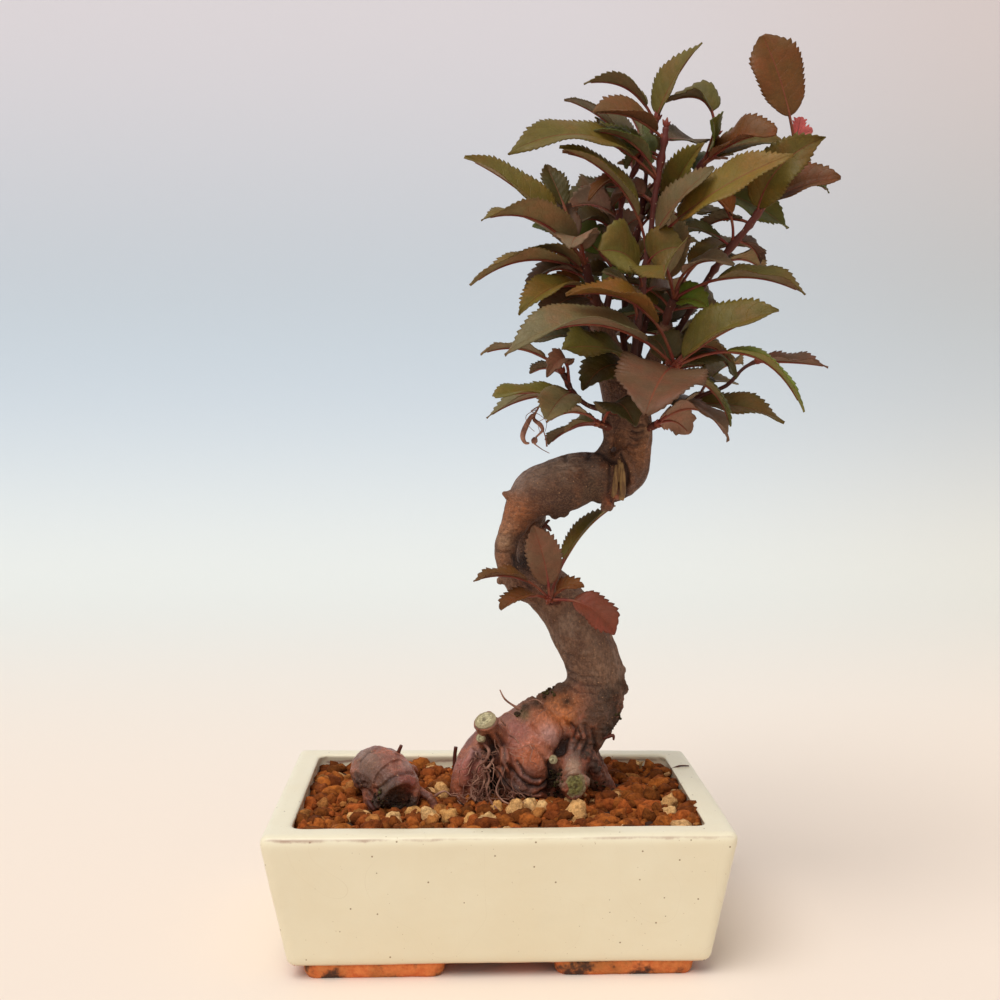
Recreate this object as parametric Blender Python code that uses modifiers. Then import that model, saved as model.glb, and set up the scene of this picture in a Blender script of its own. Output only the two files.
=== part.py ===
"""An apple bonsai: a twisted old trunk with leafy shoots, standing in gravelly soil in a glazed pot.

Sizes in the tables are millimetres. The crown and trunk are drawn as their front elevation: a pair
(x, z) is read on the plane through the middle of the pot, as seen from the eye point, and the depth
says how far behind (+) or in front of (-) that plane the point lies on the same line of sight.
"""
import math
import random
from collections import namedtuple

import bmesh
import bpy
from mathutils import Matrix, Vector
from mathutils.bvhtree import BVHTree

MM = 0.001
GAP = 0.35                                  # clearance between pieces that touch
POT_PLACE = Vector((-24.8, 2.3, 0.0)) * MM  # the pot's middle, from the middle of the whole footprint
EYE = Vector((-14.5, -525.0, 216.0))        # where the front elevation is seen from

# Pot
POT_WIDTH, POT_DEPTH, POT_HEIGHT = 182.0, 124.0, 61.0
FOOT_HEIGHT = 7.0
POT_TAPER = 9.2                             # how far each side comes in from the rim to the base
CORNER_RADIUS = 3.5
EDGE_RADIUS = 2.0
RIM_WIDTH = 10.0
WALL_AT_BASE = 8.0
FLOOR_THICKNESS = 7.0
FOOT_INNER, FOOT_OUTER = 20.5, 75.0         # the feet's ends, from the middle of the pot
FOOT_DEPTH = 34.0
FOOT_SLOPE = 1.5
DRAIN_X, DRAIN_RADIUS = 38.0, 7.0
SCREEN_SIZE, SCREEN_THICKNESS, SCREEN_CELLS = 22.0, 1.0, 5

# Soil
SOIL_LEVEL = 54.5
GRAIN_PITCH = 5.6                           # between lattice points; one in three is the top of a grain
GRAIN_HEIGHT = 2.6
SOIL_SEED = 11

# Wood: x, z, depth and radius at each point of a limb
WOOD_VOXEL = 1.1
WOOD_TRIANGLES = 2100
TRUNK = [(26.5, 54, 18, 10.5), (27.5, 67, 16, 12.5), (30, 79, 15, 13.2), (35, 89, 14, 13.6),
         (40.3, 99, 13, 13.6), (42, 109, 12, 12.5), (39.5, 118, 12, 12.4), (36, 126, 12, 12.5),
         (31, 135, 13, 11.6), (24.5, 143, 14, 10.8), (17, 151, 16, 9.8), (15.3, 159, 18, 8.4),
         (15, 168, 18, 7), (15, 176, 14, 6), (17, 183, 8, 5)]
LIMBS = {
    "upper_trunk": [(17, 146, 10, 7), (9.8, 148.5, 7, 6.4), (5, 156, 5, 4.7), (4, 164, 4, 4.8),
                    (7, 172, 3, 5.6), (11, 180, 3, 8), (17, 186, 2, 10.8), (24, 188.5, 2, 11.7),
                    (32, 191.5, 2, 11.8), (40, 193, 2, 10.4), (46, 192.5, 2, 11.2), (54, 196, 3, 9.8),
                    (56.6, 204, 3, 8.6), (56.3, 211, 3, 9.2), (55.2, 218, 3, 9.6), (54.5, 226, 3, 8.6),
                    (54, 233, 3, 5.5)],
    "left_limb": [(52, 224, 4, 7.5), (49, 236, 6, 6.4), (46, 248, 7, 5.4), (43, 258, 6, 4.6),
                  (40, 266, 4, 3.8)],
    "leader_foot": [(57, 224, 1, 5.5), (57, 238, -1, 3.2)],
    "right_limb": [(58, 222, 2, 5.5), (63, 236, 6, 3.8), (69, 250, 6, 3.2), (71, 257, 4, 2.8)],
    "back_limb": [(56, 220, 4, 6), (55, 232, 14, 4), (54, 244, 22, 3.2)],
    "front_limb": [(58, 220, -1, 5), (62, 227, -9, 3.4), (65, 231, -15, 2.6)],
}
ROOTS = {
    "front_mass": [(22, 90, 14, 11), (15.5, 82, 11, 14.5), (12.5, 74, 10, 16.5), (12.5, 66, 11, 16),
                   (12.5, 58, 12, 14), (12.5, 50, 13, 11)],
    "saddle": [(38, 101, 13, 9), (32, 97, 14, 10), (25, 91.5, 14, 11), (17, 85, 12, 12.5)],
    "left_root": [(20, 90, 14, 12), (8.5, 83.5, 11, 11), (-2, 77.5, 9, 10.8), (-8, 69.5, 8, 10.3),
                  (-11, 60.5, 8, 9), (-12, 51, 8, 7.5)],
    "right_root": [(33, 78, 15, 10), (40, 68, 17, 7), (47, 60, 19, 4.5), (52, 52, 20, 3)],
    "back_root": [(30, 84, 20, 12), (24, 68, 30, 9.5), (20, 55, 36, 6.5), (18, 48, 39, 4)],
    "cut_root_right": [(34, 79, 11, 9), (35, 71.5, 3, 7), (34, 64.5, -2, 5.8), (33.4, 61.6, -7, 5.6)],
    "cut_root_left": [(6, 83, 6, 6.5), (0.5, 87.2, 0, 5), (-2.8, 89.6, -5, 4.7)],
    "small_stub_left": [(-3, 79, 3, 3.5), (-6.3, 82.5, -4, 2)],
    "small_stub_front": [(24, 75, 4, 3), (24.2, 73.3, -6, 1.9)],
    "side_spike": [(45, 104, 13, 8), (52, 103.5, 12, 4), (55.5, 103, 12, 1.7)],
    "elbow_knot": [(6, 165, 4, 5), (1.5, 165, 2, 3), (-0.4, 165, 2, 1.8)],
    "shoulder_knot": [(12, 184, 2, 8), (4, 186, 0, 3), (2.5, 186.5, 0, 1.7)],
    "top_knot": [(33, 196, 2, 7), (33, 199.5, 1, 4.6)],
}
STUMP = [(-53.5, 68.5, 10, 8), (-52, 69.3, 5, 10), (-48, 68.8, -1, 10.3), (-44, 65.5, -7, 10),
         (-41.3, 61, -12, 9.2), (-40.5, 58.5, -15, 7.6)]
STUMP_ROOT = [(-38, 62, -10, 3.4), (-32.5, 60, -10, 2.1), (-27, 56, -12, 1.8), (-25.5, 49, -13, 1.7)]
STUMP_FOOT = [(-48, 64, 0, 9), (-47, 55, -3, 9), (-46, 47, -4, 7)]
STUMP_TRIANGLES = 380

# Leaves
LEAF_THICKNESS = 0.7
STALK_WIDTH = 1.3
LEAF_GAP = 1.35                             # between the middle surfaces of two blades
WOOD_CLEARANCE = 1.6
STEM_CLEARANCE = 1.2
PUSHES = (0, 4, -4, 8, -8, 12, -12, 17, -17, 23, -23, 30)
TURNS = (0, 14, -14, 28)
FOLD = 26.0                                 # how far each half of a blade rises, in degrees

# at: place along the stem, 0 to 1. x, z, depth: the tip. face: 0 when the upper side faces the eye,
# 90 when it faces up. arch: rise of the midrib. stalk: the stalk's share of the length.
# blunt: 0.8 for a drawn-out tip, less for a round one.
Leaf = namedtuple("Leaf", "at x z depth width face arch stalk fold blunt", defaults=(3, 0.18, FOLD, 0.8))

# A stem has x, z, depth and radius at each point.
SHOOTS = {
    "trunk_sprig": ([(27, 141, 6, 2.2), (23.5, 141, -1, 2), (22.5, 141, -5, 1.7)], [
        Leaf(1, 15.5, 172.5, -10, 15, 8, 2, 0.22, 14, 0.6),
        Leaf(1, 50, 181, -10, 12, 58, 6, 0.34),
        Leaf(0.9, -9.5, 149.5, -12, 11, 66, 6, 0.35),
        Leaf(0.8, 2, 137, -16, 11, 58, 4, 0.32, FOLD, 0.5),
        Leaf(0.8, 37, 146.5, -8, 10, 52, 3, 0.25),
        Leaf(0.95, 50, 126.5, -13, 15, 26, 6, 0.3, 14, 0.6),
    ]),
    "leader": ([(57, 233, -1, 2.2), (57.5, 246, -3, 1.9), (59.5, 261, -6, 1.7), (61.5, 277, -7, 1.6),
                (63.8, 292, -7, 1.5), (65, 304, -7, 1.5), (67, 318, -6, 1.6), (69, 329, -6, 1.7),
                (70, 337, -6, 1.7)], [
        Leaf(0.95, 40, 342.5, -16, 21, 50, 4, 0.14, 26, 0.55),
        Leaf(0.79, 5, 326, -34, 20, 38, 12, 0.2, 14),
        Leaf(0.95, 84, 331, 14, 18, 30, 1, 0.12, 14, 0.5),
        Leaf(0.88, 54, 320, 16, 16, 36, 5, 0.15),
        Leaf(0.7, 47, 303, 6, 15, 40, 6, 0.2),
        Leaf(0.53, 123, 326.5, -40, 20, 36, 4, 0.24, 16),
        Leaf(0.36, 43, 286.5, -30, 26, 24, 6, 0.28, 18, 0.6),
        Leaf(0.5, 26, 328.5, -24, 17, 58, 9, 0.26),
        Leaf(0.45, 78, 288, -18, 20, 20, 3, 0.2, 14),
        Leaf(0.08, 28, 246, -30, 21, 40, 3, 0.1, 16, 0.6),
        Leaf(0.04, 36, 229, -16, 19, 30, 6, 0.12, 14),
    ]),
    "rear_left_shoot": ([(45, 258, 7, 2.1), (47.5, 272, 11, 1.7), (49.5, 288, 12, 1.5), (51.5, 304, 12, 1.4),
                         (55.5, 316, 10, 1.3), (60.5, 326, 7, 1.3), (66, 340, 5, 1.2)], [
        Leaf(1, 84.5, 371.5, -4, 17, 52, 2, 0.06, 24, 0.95),
        Leaf(0.98, 36, 354.5, 8, 15, 60, 7, 0.2),
        Leaf(0.8, 28, 348, 18, 22, 36, 4, 0.12, 20),
        Leaf(0.74, 43, 340.5, 22, 19, 26, 3, 0.2, 14),
        Leaf(0.52, 38, 307, 6, 11, 66, 12, 0.3),
        Leaf(0.5, 29, 304, 26, 17, 108, 4, 0.2),
        Leaf(0.42, 31, 297, 8, 14, 50, 5, 0.2),
        Leaf(0.32, 61, 301, 24, 17, 110, 4, 0.2),
    ]),
    "left_spur": ([(42, 264, 3, 2.4), (39, 273, -2, 2), (37, 281, -5, 1.7)], [
        Leaf(1, -13, 324.5, -14, 20, 42, 5, 0.3, 24),
        Leaf(0.95, 20.5, 321.5, 6, 11, 16, 1, 0.58, 14, 0.5),
        Leaf(0.9, -6, 299, -26, 20, 78, 10, 0.16, 28),
        Leaf(0.7, 12, 306, 0, 16, 36, 8, 0.34, 20),
        Leaf(0.8, -10.5, 272, -20, 15, 66, 8, 0.15),
        Leaf(0.6, 12.5, 266.5, -6, 14, 60, 9, 0.15),
        Leaf(0.4, 9.5, 260, -20, 16, 52, 6, 0.16),
        Leaf(1, 31, 288, -38, 18, 50, 7, 0.2, 14, 0.6),
    ]),
    "right_shoot": ([(56.5, 232, 13, 2.2), (60, 248, 16, 1.8), (65, 270, 19, 1.7), (68, 290, 18, 1.7),
                     (71, 304, 14, 1.7), (77, 312, 9, 1.7), (83, 319, 6, 1.7), (88, 327, 4, 1.7),
                     (91, 334, 3, 1.6)], [
        Leaf(0.98, 70, 347, 12, 19, 42, 10, 0.3),
        Leaf(0.86, 116, 335, -8, 20, 42, 4, 0.18, FOLD, 0.45),
        Leaf(0.82, 98, 326, 18, 15, 50, 3, 0.15),
        Leaf(0.62, 86, 331, -8, 14, 30, 3, 0.2),
        Leaf(0.78, 121, 296, 14, 24, 30, 4, 0.1, 14),
        Leaf(0.68, 50, 322, 26, 16, 60, 6, 0.2),
        Leaf(0.5, 90, 294, 34, 16, 40, 6, 0.2),
    ]),
    "far_right_shoot": ([(64, 238, 5, 2.3), (72, 248, 13, 2), (80, 261, 11, 1.8), (86, 272, 6, 1.7),
                         (92, 281, 3, 1.7), (98, 289, 2, 1.8), (104, 296, 1, 1.8), (109, 303, 0, 1.7),
                         (113, 310, 2, 1.2), (118, 319, 4, 1.1), (124, 331, 4, 1)], [
        Leaf(0.99, 109.5, 374.5, -2, 22, 6, 2, 0.26, 10, 0.42),
        Leaf(1, 126, 341.5, 6, 5, 10, 1, 0.2, 14, 0.5),
        Leaf(1, 131, 336, -2, 6, 30, 1, 0.2, 14, 0.5),
        Leaf(0.7, 136.5, 333.5, -30, 20, 32, 6, 0.06, 14, 0.9),
        Leaf(0.72, 143, 316.5, -10, 20, 46, 3, 0.12, FOLD, 0.6),
        Leaf(0.66, 84, 294, 14, 12, 72, 4, 0.16),
        Leaf(0.58, 110, 281.5, 10, 12, 58, 3, 0.16),
        Leaf(0.56, 84, 311, -8, 15, 44, 6, 0.4),
        Leaf(0.46, 112, 278, 22, 15, 66, 5, 0.16),
        Leaf(0.3, 91, 262, 18, 17, 24, 3, 0.12, 14, 0.5),
        Leaf(0.16, 88, 246, -4, 20, 36, 3, 0.12),
    ]),
    "centre_spur": ([(70, 253, 5, 2.1), (71.5, 261, 1, 1.9), (74, 267, -3, 1.6)], [
        Leaf(1, 70, 275, -40, 26, 66, 9, 0.3, 24),
        Leaf(1, 129, 269, -26, 18, 54, 8, 0.34, 26, 0.6),
        Leaf(0.85, 99, 281, -20, 18, 68, 9, 0.34, 14),
        Leaf(0.95, 73, 302, 2, 21, 12, 3, 0.25, 14),
        Leaf(0.8, 88, 263.5, -14, 15, 24, 3, 0.12),
        Leaf(0.6, 97, 260, 16, 11, 54, 3, 0.14),
        Leaf(1, 106, 288, 20, 16, 46, 9, 0.28),
        Leaf(0.7, 48, 272, 8, 17, 46, 5, 0.2),
    ]),
    "front_spur": ([(64, 229.5, -13, 2.2), (70.5, 236, -22, 2), (74.5, 239, -28, 1.8)], [
        Leaf(1, 29, 268, -46, 18, 60, 12, 0.3, 28),
        Leaf(0.98, 3.5, 244, -56, 25, 50, 14, 0.2, 24),
        Leaf(1, 118, 262, -46, 27, 48, 3, 0.1, 28),
        Leaf(1, 129, 220, -38, 13, 60, 14, 0.32, 22),
        Leaf(0.92, 62.5, 219.5, -74, 34, 14, 4, 0.08, 13, 0.7),
        Leaf(0.7, 100, 234, -10, 21, 34, 10, 0.12, 16),
        Leaf(0.84, 100, 239, -20, 9, 66, 9, 0.4),
        Leaf(0.7, 63, 251, -20, 18, 20, 4, 0.2),
        Leaf(0.75, 98, 214, -26, 10, 62, 6, 0.2),
    ]),
    "low_right_twig": ([(58, 212, 6, 1.6), (68, 216, 4, 1.3), (78, 222, 1, 1.1), (86, 227, -1, 1.1),
                        (96, 231, -2, 1.1), (103, 238, -3, 1), (108, 241, -4, 0.9)], [
        Leaf(1, 139, 239, -14, 13, 54, 1, 0.08),
        Leaf(0.42, 121, 216, -14, 17, 40, 3, 0.1, 16),
        Leaf(0.52, 103, 240, 30, 15, 50, 5, 0.2),
        Leaf(0.26, 88, 222, 28, 15, 60, 5, 0.2),
    ]),
    "low_right_spur": ([(60, 211, -1, 1.9), (66.5, 214.5, -9, 1.5)], [
        Leaf(1, 97.5, 208, -26, 20, 62, 10, 0.14, 14),
        Leaf(0.9, 81, 211, -4, 15, 100, 4, 0.12, 14, 0.5),
    ]),
    "low_left_spur": ([(52, 211.5, 0, 1.9), (43.5, 215, -8, 1.5)], [
        Leaf(1, 21, 215.5, -16, 13, 58, 5, 0.3),
        Leaf(0.8, 29, 211.5, 6, 11, 56, 3, 0.25),
        Leaf(0.7, 22, 206.5, 10, 10, 70, 4, 0.5, FOLD, 0.5),
        Leaf(0.9, 58, 214, -28, 18, 36, 9, 0.15, 14, 0.6),
    ]),
    "low_left_twig": ([(52, 219.5, -2, 1.8), (45, 221, -9, 1.5), (38, 223, -12, 1.3), (32, 228, -14, 1.3),
                       (28, 236, -15, 1.2)], [
        Leaf(1, -6.5, 244, -8, 11, 70, 6, 0.25),
        Leaf(0.86, 21, 234.5, -26, 10, 48, 9, 0.26),
        Leaf(0.96, 14, 236, 4, 9, 64, 3, 0.22),
        Leaf(0.76, -1, 226.5, -30, 15, 50, 1, 0.08, 14, 0.4),
        Leaf(0.7, -4, 217.5, -14, 12, 58, 4, 0.14),
        Leaf(0.74, 21, 217, -40, 15, 24, 3, 0.1, 14, 0.5),
    ]),
    "rear_shoot": ([(54, 240, 20, 2.2), (53, 254, 27, 1.8), (54, 270, 30, 1.7), (57, 286, 31, 1.5),
                    (60, 302, 31, 1.4), (62, 318, 30, 1.2)], []),
    "rear_left_spur": ([(49, 244, 8, 2), (43, 250, 20, 1.9), (38, 255, 30, 1.6)], []),
    "rear_right_spur": ([(61, 226, 6, 2.1), (67, 231, 18, 1.9), (73, 237, 28, 1.6)], []),
}
# The rear shoots aren't drawn: their leaves follow the spiral in which an apple sets its leaves.
SPIRAL_TURN = 137.5
SPIRAL_LEAVES = {"rear_shoot": 9, "rear_left_spur": 5, "rear_right_spur": 5}
SPIRAL_REACH, SPIRAL_SEED = 37.0, 5

CREAM, TERRACOTTA_SOIL, BARK = (0.83, 0.74, 0.55), (0.30, 0.11, 0.035), (0.16, 0.085, 0.05)
LEAF_OLIVE, MESH_BLACK = (0.16, 0.10, 0.035), (0.03, 0.03, 0.03)


def clear_scene():
    for thing in list(bpy.data.objects):
        bpy.data.objects.remove(thing, do_unlink=True)


def collection(name):
    made = bpy.data.collections.new(name)
    bpy.context.scene.collection.children.link(made)
    return made


def material(name, colour, roughness):
    made = bpy.data.materials.new(name)
    made.use_nodes = True
    shader = made.node_tree.nodes["Principled BSDF"]
    shader.inputs["Base Color"].default_value = (*colour, 1)
    shader.inputs["Roughness"].default_value = roughness
    shader.inputs["Metallic"].default_value = 0.0
    return made


def new_object(name, mesh, home, finish=None):
    made = bpy.data.objects.new(name, mesh)
    home.objects.link(made)
    if finish:
        mesh.materials.clear()
        mesh.materials.append(finish)
    return made


def object_from(bm, name, home, finish=None):
    bmesh.ops.recalc_face_normals(bm, faces=bm.faces)
    mesh = bpy.data.meshes.new(name)
    bm.to_mesh(mesh)
    bm.free()
    return new_object(name, mesh, home, finish)


def baked(thing):
    """The object with its modifiers applied, as a plain mesh in place."""
    mesh = bpy.data.meshes.new_from_object(thing.evaluated_get(bpy.context.evaluated_depsgraph_get()))
    if thing.type == "MESH":
        thing.modifiers.clear()
        thing.data = mesh
        return thing
    bm = bmesh.new()
    bm.from_mesh(mesh)
    bmesh.ops.remove_doubles(bm, verts=bm.verts, dist=0.00001)
    bm.to_mesh(mesh)
    bm.free()
    made = new_object(thing.name + "_mesh", mesh, thing.users_collection[0])
    made.matrix_world = thing.matrix_world
    bpy.data.objects.remove(thing)
    return made


def boolean(thing, other, operation, solver="EXACT"):
    """Cuts or joins thing with an object, or with all the objects of a collection."""
    step = thing.modifiers.new(operation.title(), "BOOLEAN")
    step.operation = operation
    step.solver = solver
    if isinstance(other, bpy.types.Collection):
        step.operand_type = "COLLECTION"
        step.collection = other
    else:
        step.object = other
    bpy.context.view_layer.update()
    return baked(thing)


def as_cutter(thing):
    thing.hide_render = True
    thing.display_type = "WIRE"
    return thing


def seen(x, z, depth):
    """The point that stands at (x, z) in the front elevation, at that depth, in millimetres."""
    on_plane = Vector((x, 0.0, z))
    return EYE + (on_plane - EYE) * (1 + depth / -EYE.y)


def tapered_box(inset_top, inset_base, bottom, top, corner, edge, name, home, finish=None):
    """The pot's outer shape, brought in by the insets, from one height to another."""
    bm = bmesh.new()
    bmesh.ops.create_cube(bm, size=1)
    for v in bm.verts:
        high = v.co.z > 0
        z = top if high else bottom
        share = (POT_HEIGHT - z) / (POT_HEIGHT - FOOT_HEIGHT)
        inset = POT_TAPER * share + (inset_top if high else inset_base)
        v.co = Vector((math.copysign(POT_WIDTH / 2 - inset, v.co.x),
                       math.copysign(POT_DEPTH / 2 - inset, v.co.y), z)) * MM
    upright = [e for e in bm.edges if abs(e.verts[0].co.z - e.verts[1].co.z) > 0.01]
    bmesh.ops.bevel(bm, geom=upright, offset=corner * MM, segments=3, profile=0.5, affect="EDGES")
    if edge:
        level = [e for e in bm.edges if abs(e.verts[0].co.z - e.verts[1].co.z) < 0.0001
                 and len(e.link_faces) == 2 and e.calc_face_angle() > 0.8]
        bmesh.ops.bevel(bm, geom=level, offset=edge * MM, segments=2, profile=0.5, affect="EDGES")
    return object_from(bm, name, home, finish)


def block(low, high, name, home, slope=0.0):
    """A box between two corners, its lower face drawn in by slope."""
    bm = bmesh.new()
    bmesh.ops.create_cube(bm, size=1)
    for v in bm.verts:
        corner = [high[i] if v.co[i] > 0 else low[i] for i in range(3)]
        if v.co.z < 0:
            corner[0] -= math.copysign(slope, v.co.x)
            corner[1] -= math.copysign(slope, v.co.y)
        v.co = Vector(corner) * MM
    return object_from(bm, name, home)


def build_pot(home, cutters, finish):
    pot = tapered_box(0, 0, FOOT_HEIGHT, POT_HEIGHT, CORNER_RADIUS, EDGE_RADIUS, "pot", home, finish)
    feet = bpy.data.collections.new("feet")
    half_depth = POT_DEPTH / 2 - POT_TAPER - 3
    for side in (-1, 1):
        for end in (-1, 1):
            xs = sorted((side * FOOT_INNER, side * FOOT_OUTER))
            ys = sorted((end * half_depth, end * (half_depth - FOOT_DEPTH)))
            block((xs[0], ys[0], 0), (xs[1], ys[1], FOOT_HEIGHT + 3), "foot", feet, FOOT_SLOPE)
    boolean(pot, feet, "UNION")
    for foot in list(feet.objects):
        bpy.data.objects.remove(foot)
    floor = FOOT_HEIGHT + FLOOR_THICKNESS
    hollow = as_cutter(tapered_box(RIM_WIDTH, WALL_AT_BASE, floor, POT_HEIGHT + 1, 5, 0, "hollow", cutters))
    boolean(pot, hollow, "DIFFERENCE")
    for side in (-1, 1):
        bpy.ops.mesh.primitive_cylinder_add(vertices=16, radius=DRAIN_RADIUS * MM, depth=30 * MM,
                                            location=(side * DRAIN_X * MM, 0, FOOT_HEIGHT * MM))
        drain = bpy.context.object
        drain.name = "drain"
        for old in list(drain.users_collection):
            old.objects.unlink(drain)
        cutters.objects.link(as_cutter(drain))
        boolean(pot, drain, "DIFFERENCE")
    return pot


def build_screens(home, finish):
    """A square of plastic mesh over each drain hole."""
    floor = FOOT_HEIGHT + FLOOR_THICKNESS
    for side, name in ((-1, "drain_screen_left"), (1, "drain_screen_right")):
        bm = bmesh.new()
        bmesh.ops.create_grid(bm, x_segments=SCREEN_CELLS, y_segments=SCREEN_CELLS, size=SCREEN_SIZE / 2 * MM)
        cell = SCREEN_SIZE / SCREEN_CELLS * MM
        holes = [f for f in bm.faces
                 if all(round(f.calc_center_median()[i] / cell) % 2 == 1 for i in (0, 1))]
        bmesh.ops.delete(bm, geom=holes, context="FACES_ONLY")
        screen = object_from(bm, name, home, finish)
        screen.location = Vector((side * DRAIN_X, 0, floor + 0.3)) * MM
        shell = screen.modifiers.new("Thickness", "SOLIDIFY")
        shell.thickness = SCREEN_THICKNESS * MM
        shell.offset = 1
        bpy.context.view_layer.update()
        baked(screen)


def grain_height(i, j, draw):
    """High at one lattice point in three, which is the top of a grain, and low around it."""
    along = i - (j - (j & 1)) // 2
    if (along - j) % 3 == 0:
        return GRAIN_HEIGHT * draw.uniform(0.55, 1.0)
    return GRAIN_HEIGHT * draw.uniform(-0.35, 0.15)


def build_soil(home, cutters, finish, sunk):
    """Soil to the pot's inner walls, its top raised in grains, with plain holes for what stands in it."""
    draw = random.Random(SOIL_SEED)
    width, depth = POT_WIDTH - RIM_WIDTH, POT_DEPTH - RIM_WIDTH
    columns = int(width / GRAIN_PITCH)
    rows = int(depth / (GRAIN_PITCH * math.sqrt(0.75)))
    bm = bmesh.new()
    bmesh.ops.create_grid(bm, x_segments=columns, y_segments=rows, size=1)
    bm.verts.ensure_lookup_table()
    for k, v in enumerate(bm.verts):
        j, i = divmod(k, columns + 1)
        x = 0 if i == 0 else min((i + 0.5 * (j & 1)) * width / columns, width)
        wander = 0.22 * GRAIN_PITCH * (0 < i < columns and 0 < j < rows)
        v.co = Vector((x - width / 2 + draw.uniform(-1, 1) * wander,
                       depth * (j / rows - 0.5) + draw.uniform(-1, 1) * wander,
                       SOIL_LEVEL + grain_height(i, j, draw))) * MM
    bmesh.ops.triangulate(bm, faces=bm.faces, quad_method="SHORT_EDGE")
    border = [e for e in bm.edges if e.is_boundary]
    skirt = bmesh.ops.extrude_edge_only(bm, edges=border)["geom"]
    for v in (g for g in skirt if isinstance(g, bmesh.types.BMVert)):
        v.co.z = (FOOT_HEIGHT + FLOOR_THICKNESS) * MM
    bmesh.ops.contextual_create(bm, geom=[g for g in skirt if isinstance(g, bmesh.types.BMEdge)])
    soil = object_from(bm, "soil", home, finish)
    floor = FOOT_HEIGHT + FLOOR_THICKNESS
    room = as_cutter(tapered_box(RIM_WIDTH + GAP, WALL_AT_BASE + GAP, floor + GAP, POT_HEIGHT + 1, 5, 0,
                                 "room", cutters))
    boolean(soil, room, "INTERSECT")
    half = SCREEN_SIZE / 2 + 0.5
    for side in (-1, 1):
        x = side * DRAIN_X
        pocket = block((x - half, -half, floor - 1), (x + half, half, floor + SCREEN_THICKNESS + 0.7),
                       "pocket", cutters)
        boolean(soil, as_cutter(pocket), "DIFFERENCE")
    for standing in sunk:
        boolean(soil, standing, "DIFFERENCE")
    return soil


def tube(points, name, home, sides=2):
    """A limb: a round tube through the points, in the elevation's terms, thickening with each radius."""
    data = bpy.data.curves.new(name, "CURVE")
    data.dimensions = "3D"
    data.bevel_depth = 1 * MM
    data.bevel_resolution = sides
    data.use_fill_caps = True
    spline = data.splines.new("POLY")
    spline.points.add(len(points) - 1)
    for at, (x, z, depth, radius) in zip(spline.points, points):
        at.co = (*(seen(x, z, depth) * MM), 1)
        at.radius = radius
    made = bpy.data.objects.new(name, data)
    home.objects.link(made)
    bpy.context.view_layer.update()
    return baked(made)


def smooth_path(points, between=3):
    """The same limb with points read from a smooth curve through the given ones."""
    made = []
    for k in range(len(points) - 1):
        a, b = Vector(points[max(k - 1, 0)]), Vector(points[k])
        c, d = Vector(points[k + 1]), Vector(points[min(k + 2, len(points) - 1)])
        for n in range(between):
            t = n / between
            made.append(0.5 * (2 * b + (c - a) * t + (2 * a - 5 * b + 4 * c - d) * t ** 2
                               + (3 * b - a - 3 * c + d) * t ** 3))
    return [tuple(p) for p in made] + [points[-1]]


def grown(name, limbs, triangles, home, finish):
    """Limbs grown into one piece of wood, with soft joints between them."""
    bm = bmesh.new()
    for limb in limbs:
        piece = tube(smooth_path(limb), "limb", home)
        bm.from_mesh(piece.data)
        bpy.data.objects.remove(piece)
    wood = object_from(bm, name, home, finish)
    melt = wood.modifiers.new("Grow together", "REMESH")
    melt.mode = "VOXEL"
    melt.voxel_size = WOOD_VOXEL * MM
    soften = wood.modifiers.new("Soften", "SMOOTH")
    soften.factor = 0.5
    soften.iterations = 3
    bpy.context.view_layer.update()
    baked(wood)
    thin = wood.modifiers.new("Few faces", "DECIMATE")
    wood.data.calc_loop_triangles()
    thin.ratio = triangles / len(wood.data.loop_triangles)
    bpy.context.view_layer.update()
    baked(wood)
    wood.data.shade_smooth()
    return wood


def swollen(wood, cutters):
    """A copy of the wood made larger by the gap, to cut its neighbours with."""
    copy = wood.copy()
    copy.data = wood.data.copy()
    copy.name = wood.name + "_room"
    cutters.objects.link(copy)
    grow = copy.modifiers.new("Gap", "DISPLACE")
    grow.strength = GAP * MM
    grow.mid_level = 0
    bpy.context.view_layer.update()
    return as_cutter(baked(copy))


def along(points, share):
    """The place at that share of a stem's length, in millimetres."""
    places = [seen(x, z, depth) for x, z, depth, _ in points]
    lengths = [(b - a).length for a, b in zip(places, places[1:])]
    rest = share * sum(lengths)
    for a, b, length in zip(places, places[1:], lengths):
        if rest <= length:
            return a.lerp(b, rest / length)
        rest -= length
    return places[-1]


def upper_side(chord, face):
    """The way a leaf's upper side looks: at the eye when face is 0, and up when it is 90."""
    toward_eye = Vector((0, -1, 0.3))
    toward_eye = (toward_eye - toward_eye.project(chord)).normalized()
    upward = chord.cross(toward_eye).normalized()
    if upward.z < 0:
        upward.negate()
    turn = math.radians(face)
    return toward_eye * math.cos(turn) + upward * math.sin(turn)


def half_width(v, width, blunt):
    """Half the blade's width at a share v of its length."""
    rise = 0.55
    peak = rise / (rise + blunt)
    most = peak ** rise * (1 - peak) ** blunt
    return width / 2 * v ** rise * (1 - v) ** blunt / most


def blade_rows(length):
    """Rows of teeth on the blade: two rows to a tooth."""
    return 8 if length > 40 else 6 if length > 24 else 4


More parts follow.
